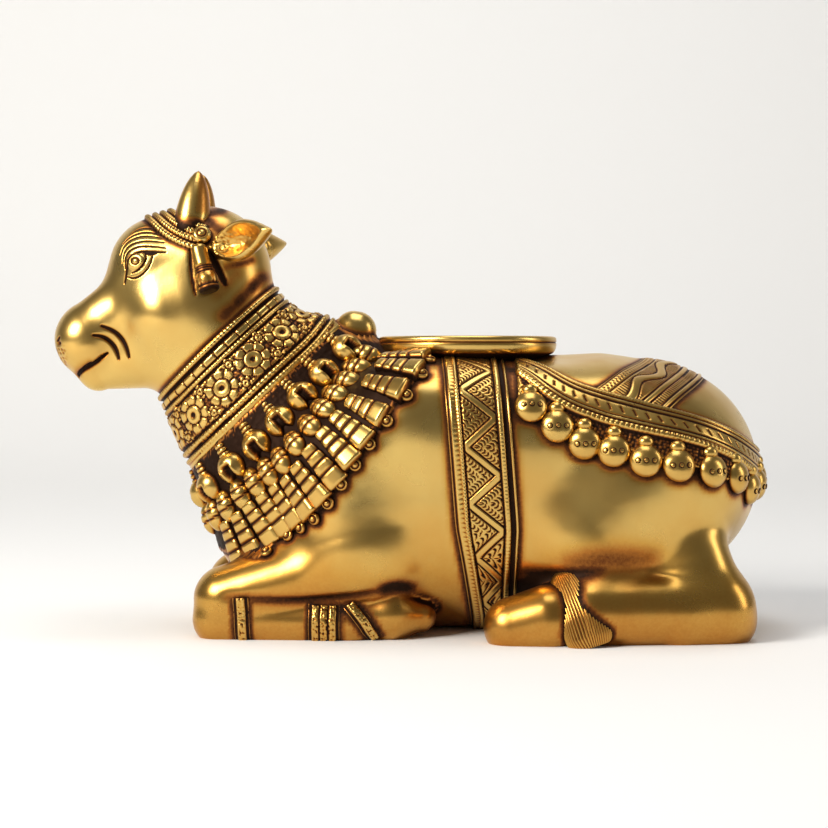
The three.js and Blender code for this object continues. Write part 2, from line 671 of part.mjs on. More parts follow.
function solidOf(geometry) {
  const bare = geometry.clone();
  bare.deleteAttribute('normal');
  bare.deleteAttribute('uv');
  const merged = mergeVertices(bare, MERGE_DISTANCE);
  const vertProperties = merged.attributes.position.array;
  const triVerts = new Uint32Array(merged.index.array);
  const solid = new wasm.Manifold(new wasm.Mesh({ numProp: 3, vertProperties, triVerts }));
  if (solid.volume() > 0) return solid;
  for (let i = 0; i < triVerts.length; i += 3) {
    [triVerts[i], triVerts[i + 1]] = [triVerts[i + 1], triVerts[i]];
  }
  return new wasm.Manifold(new wasm.Mesh({ numProp: 3, vertProperties, triVerts }));
}

// The distances of a point from the faces round it, squared and weighed by their areas, are kept as one
// quadratic form of ten numbers
function addPlane(form, normal, offset, weight) {
  const plane = [normal.x, normal.y, normal.z, offset];
  const products = plane.flatMap((value, i) => plane.slice(i).map((other) => value * other));
  products.forEach((product, i) => {
    form[i] += weight * product;
  });
}

function formAt(q, { x, y, z }) {
  return x * (q[0] * x + 2 * (q[1] * y + q[2] * z + q[3])) + y * (q[4] * y + 2 * (q[5] * z + q[6]))
    + z * (q[7] * z + 2 * q[8]) + q[9];
}

// The cheapest edges first
class EdgeHeap {
  items = [];

  push(item) {
    const { items } = this;
    let i = items.push(item) - 1;
    while (i > 0) {
      const parent = (i - 1) >> 1;
      if (items[parent].cost <= items[i].cost) break;
      [items[parent], items[i]] = [items[i], items[parent]];
      i = parent;
    }
  }

  pop() {
    const { items } = this;
    const top = items[0];
    const last = items.pop();
    if (items.length) {
      items[0] = last;
      for (let i = 0; ;) {
        const [left, right] = [2 * i + 1, 2 * i + 2];
        let least = i;
        if (left < items.length && items[left].cost < items[least].cost) least = left;
        if (right < items.length && items[right].cost < items[least].cost) least = right;
        if (least === i) break;
        [items[least], items[i]] = [items[i], items[least]];
        i = least;
      }
    }
    return top;
  }
}

// Folds up the edges whose loss changes the shape least, until no more than `target` faces are left.
// An edge stays where folding it would pinch the body or turn a face over.
const SHORT_EDGE_BIAS = 1e-4;
const LEAST_COSINE = 0.2;
const LEAST_AREA = 1e-4;

function thinned(solid, target) {
  const { vertProperties, triVerts } = solid.getMesh();
  const points = steps(vertProperties.length / 3)
    .map((i) => new THREE.Vector3().fromArray(vertProperties, i * 3));
  const faces = steps(triVerts.length / 3).map((i) => [...triVerts.subarray(i * 3, i * 3 + 3)]);
  const facesAt = points.map(() => new Set());
  const forms = points.map(() => new Float64Array(10));
  const version = points.map(() => 0);
  const normalOf = (face, moved, to) => {
    const [a, b, c] = face.map((v) => (moved.includes(v) ? to : points[v]));
    return b.clone().sub(a).cross(c.clone().sub(a));
  };
  faces.forEach((face, i) => {
    const normal = normalOf(face, [], null);
    const area = normal.length() / 2;
    normal.normalize();
    for (const v of face) {
      facesAt[v].add(i);
      addPlane(forms[v], normal, -normal.dot(points[v]), area);
    }
  });
  const neighbours = (v) => new Set([...facesAt[v]].flatMap((i) => faces[i]).filter((n) => n !== v));

  const heap = new EdgeHeap();
  const offer = (a, b) => {
    const form = forms[a].map((value, i) => value + forms[b][i]);
    const length = points[a].distanceToSquared(points[b]);
    const spots = [points[a], points[b], points[a].clone().lerp(points[b], 0.5)];
    const costs = spots.map((p) => Math.max(formAt(form, p), 0));
    const cost = Math.min(...costs);
    const stamp = version[a] + version[b];
    heap.push({ a, b, to: spots[costs.indexOf(cost)], cost: cost + SHORT_EDGE_BIAS * length, stamp });
  };
  points.forEach((_, v) => [...neighbours(v)].filter((n) => n > v).forEach((n) => offer(v, n)));

  let left = faces.length;
  while (left > target && heap.items.length) {
    const { a, b, to, stamp } = heap.pop();
    if (!facesAt[a].size || !facesAt[b].size || stamp !== version[a] + version[b]) continue;
    const aroundB = neighbours(b);
    if ([...neighbours(a)].filter((n) => aroundB.has(n)).length !== 2) continue;
    const kept = [...facesAt[a], ...facesAt[b]].filter((i) => !(facesAt[a].has(i) && facesAt[b].has(i)));
    const turns = kept.some((i) => {
      const before = normalOf(faces[i], [], null);
      const after = normalOf(faces[i], [a, b], to);
      const size = after.length();
      return after.dot(before) <= LEAST_COSINE * size * before.length() || size < LEAST_AREA;
    });
    if (turns) continue;
    for (const i of [...facesAt[b]]) {
      if (facesAt[a].has(i)) {
        for (const v of faces[i]) facesAt[v].delete(i);
        faces[i] = null;
        left -= 1;
      } else {
        faces[i] = faces[i].map((v) => (v === b ? a : v));
        facesAt[a].add(i);
      }
    }
    facesAt[b].clear();
    points[a] = to.clone();
    forms[a] = forms[a].map((value, i) => value + forms[b][i]);
    version[a] += version[b] + 1;
    for (const n of neighbours(a)) offer(a, n);
  }

  const used = faces.filter(Boolean).flat();
  const order = new Map([...new Set(used)].map((v, i) => [v, i]));
  return geometryOf([...order.keys()].map((v) => points[v]), used.map((v) => order.get(v)));
}

function bareBull() {
  const x = gridLines(-53 * SHARE, [[-20 * SHARE, HEAD_CELL], [52 * SHARE, BODY_CELL]]);
  const right = gridLines(0, [[14 * SHARE, LEG_CELL * 1.15], [25 * SHARE, LEG_CELL]]).slice(1);
  const y = [...right.map((v) => -v).reverse(), 0, ...right];
  const z = gridLines(-5 * SHARE, [[12 * SHARE, LEG_CELL], [33 * SHARE, BODY_CELL], [62 * SHARE, HEAD_CELL]]);
  return skin([x, y, z]);
}

function underGround() {
  const deep = FIGURE_LENGTH;
  return new THREE.BoxGeometry(2 * FIGURE_LENGTH, FIGURE_LENGTH, deep).translate(0, 0, -deep / 2);
}

const ornaments = [
  ...collar(), ...necklace(), ...girth(), ...breeching(), ...loinStrap(), ...browband(),
  ...saddle(), ...anklets(), ...raisedLines(), ...headSide(-1), ...headSide(1), ...tailTuft(),
];
const joined = ornaments.reduce((bull, piece) => bull.add(solidOf(piece)), solidOf(bareBull()));
const cut = [...cutLines(), underGround()].reduce((bull, piece) => bull.subtract(solidOf(piece)), joined);
// Small pockets shut in between two ornaments are filled: only the outer shell is kept
const whole = cut.decompose().reduce((most, shell) => (shell.volume() > most.volume() ? shell : most));

function meshOf(geometry, material, name) {
  geometry.computeVertexNormals();
  const mesh = new THREE.Mesh(geometry, material);
  mesh.name = name;
  return mesh;
}

const brass = new THREE.MeshStandardMaterial({ color: 0xc89a3c, metalness: 1, roughness: 0.32 });
const figure = new THREE.Group();
figure.name = 'seated_nandi';
figure.add(meshOf(thinned(whole, MOST_FACES), brass, 'nandi_bull'));

export default figure;
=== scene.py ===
"""Seated Nandi bull: a festival bull in polished brass, cast in one piece and chased by hand."""
import math

import bmesh
import bpy
import numpy as np
from mathutils import Matrix, Vector
from mathutils.kdtree import KDTree


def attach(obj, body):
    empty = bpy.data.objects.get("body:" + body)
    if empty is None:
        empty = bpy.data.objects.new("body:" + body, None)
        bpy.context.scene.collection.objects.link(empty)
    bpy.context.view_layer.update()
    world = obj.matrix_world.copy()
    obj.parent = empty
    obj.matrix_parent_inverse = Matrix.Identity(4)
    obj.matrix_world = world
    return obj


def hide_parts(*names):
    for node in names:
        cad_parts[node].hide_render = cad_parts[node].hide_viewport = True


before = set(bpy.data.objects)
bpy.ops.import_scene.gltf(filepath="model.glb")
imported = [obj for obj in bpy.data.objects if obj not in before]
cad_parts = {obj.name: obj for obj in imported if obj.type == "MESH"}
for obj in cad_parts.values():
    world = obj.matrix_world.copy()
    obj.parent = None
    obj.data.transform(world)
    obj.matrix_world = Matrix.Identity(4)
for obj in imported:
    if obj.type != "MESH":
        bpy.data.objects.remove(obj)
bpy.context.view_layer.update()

# The body
# A hollow brass casting, made from a wax model that was built up of rounded lumps and smoothed by hand.
# The trunk, the folded legs and the neck are one skin. It is filed and polished after the casting.
MM = 0.001
SHARE = 0.0026  # a hundredth of the figure's length


def lump(start, end, start_radius, end_radius, blend, flat=1.0, pair=False):
    """A tapered lump of wax between two points. flat narrows it across Y, and a pair has a twin at +Y."""
    start, end = np.array(start) * SHARE, np.array(end) * SHARE
    radii = (start_radius * SHARE, end_radius * SHARE)
    return {"start": start, "along": end - start, "radii": radii, "blend": blend * SHARE,
            "squash": np.array([1, 1 / flat, 1]), "pair": pair}


# Each lump: its start and end [X, Y, Z] and its radii there, in hundredths of the length, and how softly
# it melts into the rest.
TRUNK = [
    lump([2, 0, 21], [25, 0, 21], 17.7, 17.5, 0.1),
    lump([1, 0, 15.6], [25, 0, 15.4], 15, 14.6, 3),
    lump([0, -9, 28.9], [27, -8.2, 27.2], 9.6, 9.3, 3, pair=True),
    lump([29, 0, 21.8], [33.6, 0, 22.4], 16.2, 15.2, 3.4),
    lump([18, 0, 30], [33.6, 0, 30], 8.3, 7.6, 1.5),
]
NECK = [lump([-27.5, 0, 40.3], [-13, 0, 24], 10.3, 17.3, 4, flat=0.74)]
CHEST_AND_HUMP = [
    lump([-15.6, 0, 14], [-9, 0, 15], 10.4, 12, 4),
    lump([-12.4, 0, 38], [-5, 0, 35.6], 5.9, 5.4, 2),
    lump([-7.9, 0, 42.3], [-7.4, 0, 42.2], 2.7, 2.7, 0.6),
]
HIND_LEG = [
    lump([34, -8, 21.8], [25, -9.6, 13.5], 11.2, 9.6, 4, pair=True),
    lump([41.2, -14.8, 4.5], [24, -17, 4.6], 5.1, 4.9, 2.6, pair=True),
    lump([37.8, -12.4, 11], [40, -13.8, 6.4], 5.5, 4.9, 2.5, pair=True),
    lump([43, -14.5, 2.7], [36, -16, 2.8], 3.3, 3.6, 1.2, pair=True),
    lump([18.4, -17, 3.6], [13.8, -16.6, 2.6], 4.7, 4, 1, pair=True),
]
FORE_LEG = [
    lump([-9, -9, 23], [-7, -11.4, 13.4], 9, 6.8, 4.5, pair=True),
    lump([-5, -11.6, 11.2], [-24.8, -10.2, 5.6], 5.8, 4.6, 3.4, pair=True),
    lump([-25.8, -10.8, 2.9], [-8.6, -12.6, 2.8], 3.7, 3.2, 0.7, pair=True),
    lump([-7, -12.4, 3], [-2.6, -11.6, 3.7], 3.2, 3.6, 0.8, pair=True),
    lump([-2.4, -12, 3.6], [1.3, -11, 3.4], 3.6, 2.3, 0.8, pair=True),
]
HEAD = [
    lump([-28, 0, 43], [-28.6, 0, 50], 9.1, 8.7, 3.5, flat=0.86),
    lump([-29.4, 0, 51.2], [-28.6, 0, 51], 8.4, 8.4, 2, flat=0.94),
    lump([-34.8, 0, 50.8], [-34.4, 0, 50.2], 7.4, 7.4, 1.6, flat=0.98),
    lump([-35.2, 0, 47], [-44.4, 0, 41.8], 6.5, 4.7, 2.6, flat=0.88),
    lump([-45.3, 0, 40.9], [-45.1, 0, 40.4], 4.6, 4.6, 1.2, flat=1.06),
    lump([-43.8, 0, 36.6], [-36, 0, 40.2], 2.9, 6.6, 1.4, flat=0.86),
    lump([-33.2, -2.8, 44.4], [-31, -2.8, 45], 6, 6, 2.6, pair=True),
]
WAX = TRUNK + NECK + CHEST_AND_HUMP + HIND_LEG + FORE_LEG + HEAD


TINIEST = 1e-12  # keeps a division by a distance in metres from failing
TINY = 1e-9  # the same for a slope, or for a distance in millimetres


def unit(vectors, spare=0.0):
    """The same directions at a length of 1. A little to spare keeps a slope of 0 from failing."""
    return vectors / (np.linalg.norm(vectors, axis=1)[:, None] + spare)


def lump_depth(piece, points, side):
    """How far points lie outside one lump, and the slope of that depth. side is -1 for the twin."""
    start, along = piece["start"] * [1, side, 1], piece["along"] * [1, side, 1] * piece["squash"]
    offset = (points - start) * piece["squash"]
    length_squared = along @ along
    share = np.clip(offset @ along / length_squared, 0, 1)
    gap = offset - share[:, None] * along
    distance = np.linalg.norm(gap, axis=1) + TINIEST
    growth = piece["radii"][1] - piece["radii"][0]
    inner = ((share > 0) & (share < 1))[:, None]
    slope = gap / distance[:, None] - inner * (growth / length_squared) * along
    return distance - piece["radii"][0] - growth * share, slope * piece["squash"]


def melt(first, second, blend):
    """Two lumps run into each other: the lower depth, rounded where they are close."""
    (a, slope_a), (b, slope_b) = first, second
    near = np.maximum(blend - np.abs(a - b), 0) / blend
    share = np.where(a < b, 1 - near / 2, near / 2)[:, None]
    return np.minimum(a, b) - near ** 2 * blend / 4, slope_a * share + slope_b * (1 - share)


SIGHT = 16 * MM  # a lump counts only for places nearer to it than this


def near_lump(piece, points):
    """The places that one lump, or its twin, can count for."""
    reach = max(piece["radii"]) + piece["blend"] + SIGHT
    start, end = piece["start"], piece["start"] + piece["along"]
    middle, half = (start + end) / 2, np.abs(end - start) / 2 + reach
    width = np.abs(points[:, 1]) if piece["pair"] else points[:, 1]
    close = np.abs(points[:, 0] - middle[0]) < half[0]
    close &= np.abs(points[:, 2] - middle[2]) < half[2]
    close &= np.abs(width - abs(middle[1])) < half[1]
    return np.flatnonzero(close)


def wax_depth(points):
    """How far points lie outside the body's surface (negative inside), and the slope there."""
    depth = np.full(len(points), SIGHT)
    slope = np.zeros(points.shape)
    for piece in WAX:
        close = near_lump(piece, points)
        part = points[close]
        own = lump_depth(piece, part, 1)
        if piece["pair"]:
            own = melt(own, lump_depth(piece, part, -1), piece["blend"])
        depth[close], slope[close] = melt((depth[close], slope[close]), own, piece["blend"])
    return depth, slope


GENTLE = 0.3  # keeps the steps short where lumps cancel each other out


def settle(points, rounds=3):
    """Moves nearby points onto the body's surface, and gives the direction outwards there."""
    points = np.array(points, float)
    for _ in range(rounds):
        depth, slope = wax_depth(points)
        points -= slope * (depth / np.maximum((slope ** 2).sum(1), GENTLE))[:, None]
    return points, unit(wax_depth(points)[1], spare=TINY)


def wax_form(pieces, voxel):
    """The lumps as balls and cones, melted into one skin of even squares."""
    bm = bmesh.new()
    for piece in pieces:
        for side in (1, -1) if piece["pair"] else (1,):
            along = Vector(piece["along"] * piece["squash"] * [1, side, 1])
            home = Matrix.Translation(piece["start"] * [1, side, 1])
            home = home @ Matrix.Diagonal((*(1 / piece["squash"]), 1))
            for radius, shift in zip(piece["radii"], (0, 1)):
                place = home @ Matrix.Translation(along * shift)
                bmesh.ops.create_icosphere(bm, subdivisions=4, radius=radius, matrix=place)
            turn = along.to_track_quat("Z", "Y").to_matrix().to_4x4()
            place = home @ Matrix.Translation(along / 2) @ turn
            bmesh.ops.create_cone(bm, cap_ends=True, segments=48, radius1=piece["radii"][0],
                                  radius2=piece["radii"][1], depth=along.length, matrix=place)
    return remeshed(bm, voxel)


def remeshed(bm, voxel):
    """A bmesh melted into one skin of even squares."""
    rough = mesh_object("rough", bm)
    remesh = rough.modifiers.new("skin", "REMESH")
    remesh.mode = "VOXEL"
    remesh.voxel_size = voxel
    graph = bpy.context.evaluated_depsgraph_get()
    skin = bmesh.new()
    skin.from_mesh(rough.evaluated_get(graph).to_mesh())
    bpy.data.objects.remove(rough)
    return skin


def mesh_object(name, bm):
    mesh = bpy.data.meshes.new(name)
    bm.to_mesh(mesh)
    bm.free()
    piece = bpy.data.objects.new(name, mesh)
    bpy.context.scene.collection.objects.link(piece)
    return piece


def places(bm):
    return np.array([v.co[:] for v in bm.verts])


def put(bm, points):
    for v, point in zip(bm.verts, points):
        v.co = point


def close_holes(bm):
    bmesh.ops.holes_fill(bm, edges=[e for e in bm.edges if e.is_boundary])


def cut_flat(bm, point, normal):
    """Cuts away what lies beyond a plane, and closes the cut."""
    whole = [*bm.verts, *bm.edges, *bm.faces]
    bmesh.ops.bisect_plane(bm, geom=whole, plane_co=point, plane_no=normal, clear_outer=True)
    close_holes(bm)


NECK_TOP = np.array([-27.6, 0, 40.4]) * SHARE
NECK_DOWN = np.array([0.69, 0, -0.724])
COLLAR_WIDTH = 28.3 * MM
SPLIT = NECK_TOP + NECK_DOWN * COLLAR_WIDTH / 2  # head and body meet unseen under the collar


def smooth(bm, rounds, verts=None):
    for _ in range(rounds):
        bmesh.ops.smooth_vert(bm, verts=verts or bm.verts, factor=0.5,
                              use_axis_x=True, use_axis_y=True, use_axis_z=True)


def step(value, low, high):
    """A soft step from 0 at low to 1 at high."""
    share = np.clip((value - low) / (high - low), 0, 1)
    return share * share * (3 - 2 * share)


def occlusion(points, outward, reach):
    """0 on open surfaces, and up to 1 where more wax closes in on a place: how deep it lies in shade."""
    return np.clip(1 - wax_depth(points + outward * reach)[0] / reach, 0, 1)


LINE_REACH = 1.2  # a line is looked for this far round itself, in hundredths of the length


def line_distance(points, line, reach=LINE_REACH):
    """The distance to a drawn line, in the points' own units, and how far along it the nearest spot is."""
    best = np.full(len(points), np.inf)
    share = np.zeros(len(points))
    low, high = np.min(line, axis=0) - reach, np.max(line, axis=0) + reach
    close = np.flatnonzero(((points > low) & (points < high)).all(1))
    for i, (a, b) in enumerate(zip(line, line[1:])):
        a, along = np.array(a, float), np.subtract(b, a)
        offset = points[close] - a
        t = np.clip(offset @ along / (along @ along), 0, 1)
        distance = np.linalg.norm(offset - t[:, None] * along, axis=1)
        nearer = distance < best[close]
        best[close[nearer]] = distance[nearer]
        share[close[nearer]] = (i + t[nearer]) / (len(line) - 1)
    return best, share


def curved(line, rounds=2):
    """A drawn line rounded at its corners."""
    points = np.array(line, float)
    for _ in range(rounds):
        start, end = points[:-1], points[1:]
        quarters = np.stack([start * 0.75 + end * 0.25, start * 0.25 + end * 0.75], 1)
        points = np.concatenate([points[:1], quarters.reshape(-1, points.shape[1]), points[-1:]])
    return points


def groove(distance, width):
    """1 in the middle of a cut of that width, and 0 outside it."""
    return np.exp(-(distance / (0.5 * width)) ** 2)


def swelling(share):
    """A chiselled line starts thin, swells and runs out again."""
    return np.sin(np.pi * np.clip(0.1 + 0.85 * share, 0, 1))


def seen_from_left(points):
    return points[:, [0, 2]] / SHARE


# Where one form of a leg meets the next: its line [X, Z], width and depth in millimetres, and the darkness
# of its patina and painted shade
LEG_CREASES = [
    ([(-24.6, 6.3), (-18.7, 5.9), (-13.3, 5.9), (-6.6, 6.6), (-1.6, 7.8)], 2.6, 1.2, 0.62),
    ([(-4.2, 7.2), (-1.4, 7.8), (1, 7)], 4.4, 1.2, 0.85),
    ([(14.6, 9.4), (18, 9.2), (22, 9.8), (26.5, 10.6)], 4.5, 0.8, 0.85),
    # no cut here, only a wide band of painted shade where the thigh turns down to the shank
    ([(20, 11), (26, 12), (34, 11.6)], 9, 0, 0.42),
]


def mark(bm, grime):
    """Keeps how dark each point is, from 0 to 1: its patina and its painted shade."""
    dark = bm.verts.layers.float.get("grime") or bm.verts.layers.float.new("grime")
    for v, share in zip(bm.verts, np.broadcast_to(grime, len(bm.verts))):
        v[dark] = share


def fold_patina_and_shade(points, outward, reach, low, high, dark):
    """Patina and painted shade where wax closes in on a place, from where on and how much at most."""
    return dark * step(occlusion(points, outward, reach), low, high)


BODY_SQUARE = 1.4 * MM
BODY_ROUNDS = 3
# patina and painted shade in the skin's folds: how far out to look, from where on, where full, how dark
CLOSE_FOLD_SHADE = (4 * MM, 0.25, 0.9, 0.8)
WIDE_FOLD_SHADE = (14 * MM, 0.3, 0.9, 0.3)
CREASE_SIGHT = 4  # a crease is looked for this far round itself, in hundredths of the length
CREASE_FACES = (0.2, 0.6)  # it is cut only where the skin faces to the side
CREASE_SHADE = 1.2  # its patina and painted shade are wider than its cut
PIECES = []


def cast(name, bm):
    """A finished piece of the casting, in brass and shaded smooth."""
    bmesh.ops.recalc_face_normals(bm, faces=bm.faces)
    piece = mesh_object(name, bm)
    piece.data.shade_smooth()
    PIECES.append(piece)
    return piece


body = wax_form(TRUNK + NECK + CHEST_AND_HUMP + HIND_LEG + FORE_LEG, BODY_SQUARE)
for _ in range(BODY_ROUNDS):
    put(body, settle(places(body), 2)[0])
    smooth(body, 1)
skin, outward = settle(places(body))
put(body, skin)
# patina and painted shade in the folds of the skin
body_patina_and_shade = fold_patina_and_shade(skin, outward, *CLOSE_FOLD_SHADE) + fold_patina_and_shade(skin, outward, *WIDE_FOLD_SHADE)
depth = np.zeros(len(skin))
for line, width, deep, dark in LEG_CREASES:
    distance, share = line_distance(seen_from_left(skin), curved(line), CREASE_SIGHT)
    swell = swelling(share) * step(np.abs(outward[:, 1]), *CREASE_FACES)
    depth = np.maximum(depth, deep * swell * groove(distance * SHARE / MM, width))
    body_patina_and_shade = np.maximum(body_patina_and_shade, dark * swell * groove(distance * SHARE / MM, width * CREASE_SHADE))
put(body, skin - outward * (depth * MM)[:, None])
mark(body, body_patina_and_shade)
cut_flat(body, SPLIT, -NECK_DOWN)
cut_flat(body, (0, 0, 0), (0, 0, -1))
cast("nandi_body", body)

# The head
# Part of the same casting. The eyes, the brow folds, the nostrils, the mouth and the cheek folds are cut
# with a chisel in the polished skin. Horns and ears stand out of it in one piece with the skull.
HORN_FOOT = (-30.3, 4.6, 56)
HORN_TIP = (-29.3, 3.1, 64.4)
HORN_RADIUS = 2.5
HORN_BALLS = 14
HORN_FULLNESS = 3  # the higher, the later it starts to narrow
HORN_BLUNTNESS = 0.8
HORN_CROWDING = 1.3  # its balls stand closer together at its foot
HORN_END = 0.98
EAR_ROOT = (-27.4, 6.6, 53.1)
EAR_TIP = (-18.3, 16, 55.5)
EAR_OPEN = (-0.62, 0.66, 0.1)  # the way the hollow faces
EAR_HALF = 2.9
EAR_SWELL = (0.13, 0.85)  # which part of a half wave its width follows: the start, and how far it goes
EAR_BACK = 0.62  # the bulge of its back, its lip, its hollow and its wall, in half widths
EAR_LIP = 0.42
EAR_HOLLOW = 1.05
EAR_WALL = 0.25
EAR_MOUTH = 0.8  # the hollow's edge, as a share of the ear's outline


def sided(point, side):
    return Vector((point[0], point[1] * side, point[2])) * SHARE


def horn(bm, side):
    """Balls that shrink slowly at first, and then to a blunt point."""
    foot, tip = sided(HORN_FOOT, side), sided(HORN_TIP, side)
    for share in np.linspace(0, HORN_END, HORN_BALLS):
        radius = HORN_RADIUS * SHARE * (1 - share ** HORN_FULLNESS) ** HORN_BLUNTNESS
        place = Matrix.Translation(foot.lerp(tip, share ** HORN_CROWDING))
        bmesh.ops.create_icosphere(bm, subdivisions=4, radius=radius, matrix=place)


def ear_frame(side):
    """The ear's own axes: along it, across it, and out of its hollow."""
    root, tip = sided(EAR_ROOT, side), sided(EAR_TIP, side)
    along = tip - root
    facing = sided(EAR_OPEN, side)
    facing = (facing - along * facing.dot(along) / along.length_squared).normalized()
    across = facing.cross(along.normalized())
    return root, along, across, facing


def ear(bm, side):
    """A ball drawn out to a leaf and hollowed like a spoon."""
    root, along, across, facing = ear_frame(side)
    wide = EAR_HALF * SHARE
    leaf = bmesh.ops.create_uvsphere(bm, u_segments=48, v_segments=40, radius=1)["verts"]
    for v in leaf:
        share = (v.co.x + 1) / 2
        half = wide * math.sin(math.pi * min(1, EAR_SWELL[0] + EAR_SWELL[1] * share)) ** 0.75
        rim = math.hypot(v.co.x, v.co.y)
        if v.co.z > 0:
            rise = EAR_LIP * (1 - min(1, rim) ** 6) - EAR_HOLLOW * max(0, 1 - (rim / EAR_MOUTH) ** 2)
        else:
            rise = -EAR_BACK * math.sqrt(max(0, 1 - rim * rim)) - EAR_WALL * (1 - rim)
        v.co = root + along * share + across * (v.co.y * half) + facing * (rise * wide)


def wax_nearest(points, limit):
    """Settles only what lies close to the wax, so that horns and ears keep standing out of it."""
    hold = 1 - step(np.abs(wax_depth(points)[0]), 0.5 * limit, limit)
    return points + (settle(points, 2)[0] - points) * hold[:, None]


EYELID = (0.5, 0.5)  # width and depth of the cuts, in millimetres
BROW_FOLD = (0.42, 0.4)
CHEEK_FOLD = (1.0, 0.9)
FACE_CUTS = [  # chiselled lines on the left of the face: [X, Z], then width and depth
    ([(-39.3, 48.6), (-39, 50.1), (-38.9, 51.4), (-38.3, 52.5), (-37.2, 52.9), (-36.2, 53), (-33.4, 52.8)],
     0.6, 0.6),
    ([(-36.6, 52.9), (-35.5, 52.6), (-34.6, 52.8)], 0.9, 0.5),
    ([(-38.2, 50), (-37.2, 50.4), (-36.5, 51.1), (-36.1, 52), (-36.3, 52.8)], *EYELID),
    ([(-38.9, 49.5), (-37.9, 49.2), (-36.6, 49.8), (-35.6, 51), (-35.2, 52.4)], *EYELID),
    ([(-39.2, 50.6), (-39.3, 52.1), (-38.6, 53.2), (-37.2, 53.7), (-35.6, 53.7), (-33.4, 53.4)],
     *BROW_FOLD),
    ([(-39.6, 51.4), (-39.5, 52.9), (-38.8, 53.8), (-37.6, 54.3), (-36.1, 54.5), (-33.7, 54.2)],
     *BROW_FOLD),
    ([(-40, 52.5), (-39.6, 53.8), (-38.7, 54.6), (-37.4, 55.1), (-35.9, 55.2), (-34.1, 54.8)], *BROW_FOLD),
    ([(-39.8, 54), (-38.9, 55), (-37.6, 55.6), (-36.1, 55.8), (-34.5, 55.3)], *BROW_FOLD),
    ([(-38.6, 55.5), (-37.6, 56.2), (-36.4, 56.4), (-35.2, 56.1), (-34.8, 55.4)], *BROW_FOLD),
    ([(-42.7, 42.8), (-41, 42.1), (-39.9, 41), (-39.2, 39.6), (-38.9, 38.4)], *CHEEK_FOLD),
    ([(-43.8, 41.5), (-42.4, 41.3), (-41.3, 40.4), (-40.7, 39.4), (-40.4, 38.2)], *CHEEK_FOLD),
    ([(-46.9, 35.2), (-46.3, 36.3), (-44, 37.3), (-42, 39)], 1.1, 1.4),
    ([(-46.2, 36), (-45.4, 36.9), (-44.2, 37.7)], 0.8, 0.9),
    ([(-49.2, 40.7), (-48.7, 41.3)], 0.6, 0.5),
    # a deep dark cut that paints the shadow in the gap between the ear and its tassel
    ([(-27.4, 53), (-26.4, 50.8), (-25.2, 48.4)], 2.0, 1.0),
    ([(-30, 53.4), (-29.9, 50), (-29.2, 46.9)], 0.8, 0.5),
]
DARK_PATCHES = [  # dark patches painted on the head: [X, Z], width in millimetres and darkness
    ([(-25.6, 44), (-23, 46.6), (-20.5, 49.4)], 5.5, 0.8),
    ([(-26.2, 47.4), (-24, 49.8)], 7, 0.4),
    ([(-28.8, 57.2), (-28, 58.4), (-26.2, 58.8)], 5.5, 0.85),
    ([(-28, 57.4), (-27, 56.6), (-25.6, 55.6)], 6, 0.8),
    ([(-25, 50.7), (-21.8, 51.8)], 3.5, 0.7),
    ([(-33.6, 58), (-30, 56.2)], 4.5, 0.5),
    ([(-47.2, 35.4), (-46, 36.8), (-44.4, 37.6)], 3, 0.45),
]
PATCH_WAVES = (2.1, 1.4)  # how quickly a patch grows fainter and stronger again, along X and Z
EYE = (-37.6, 51.6)
EYE_RADIUS = 3.6
EYE_BULGE = 0.9
EYE_STRETCH = 1.15  # it is a little lower than wide
PUPIL_RING = 1.35
NOSTRIL = (-48.9, 40.4)
NOSTRIL_WIDTH = 1.5
# The stippled field in front: between which X it ends at the rear, and between which Z above and below
MUZZLE_FRONT, MUZZLE_TOP, MUZZLE_FOOT = (-48.6, -47.2), (39.6, 40.4), (36.6, 37.4)
STIPPLE_SIZE = 1.5
HEAD_FOLD_SHADE = (2.5 * MM, 0.3, 0.9, 0.85)
EAR_HAIR = 0.4
EAR_HAIR_SIZE = 1.3
HORN_BASE = (57.6, 58.6)
HORN_SHADE = 0.36  # painted shade and warm reflection on the rear of the horns
CUT_SPREAD = 1.35  # the shoulders of a chiselled line


def dome(distance, radius):
    return np.sqrt(np.clip(1 - (distance / radius) ** 2, 0, 1))


DISORDER = (127.1, 311.7, 74.7, 43758.5453)  # numbers without a common measure
PEBBLE_RADIUS = 0.62  # as a share of their spacing


def hashed(column, row, salt):
    """An even but disorderly number from 0 to 1 for each square of a grid."""
    mixed = np.sin(column * DISORDER[0] + row * DISORDER[1] + salt * DISORDER[2]) * DISORDER[3]
    return mixed - np.floor(mixed)


def pebbles(along, across, size):
    """Round grains set close together without order."""
    column, row = np.floor(along / size), np.floor(across / size)
    nearest = np.full(along.shape, np.inf)
    for i in (-1, 0, 1):
        for j in (-1, 0, 1):
            x = column + i + 0.2 + 0.6 * hashed(column + i, row + j, 1)
            y = row + j + 0.2 + 0.6 * hashed(column + i, row + j, 2)
            nearest = np.minimum(nearest, np.hypot(along / size - x, across / size - y))
    return dome(nearest, PEBBLE_RADIUS)


def finer(bm, low, high, cuts):
    """Splits the squares of both sides of the head between two corners of the view from the left."""
    side_view = seen_from_left(places(bm))
    inside = ((side_view > low) & (side_view < high)).all(1)
    inside &= (np.abs(places(bm)) > [0, SKULL_MIDDLE, 0]).all(1)
    bm.verts.index_update()
    edges = [e for e in bm.edges if inside[e.verts[0].index] and inside[e.verts[1].index]]
    bmesh.ops.subdivide_edges(bm, edges=edges, cuts=cuts, use_grid_fill=True)


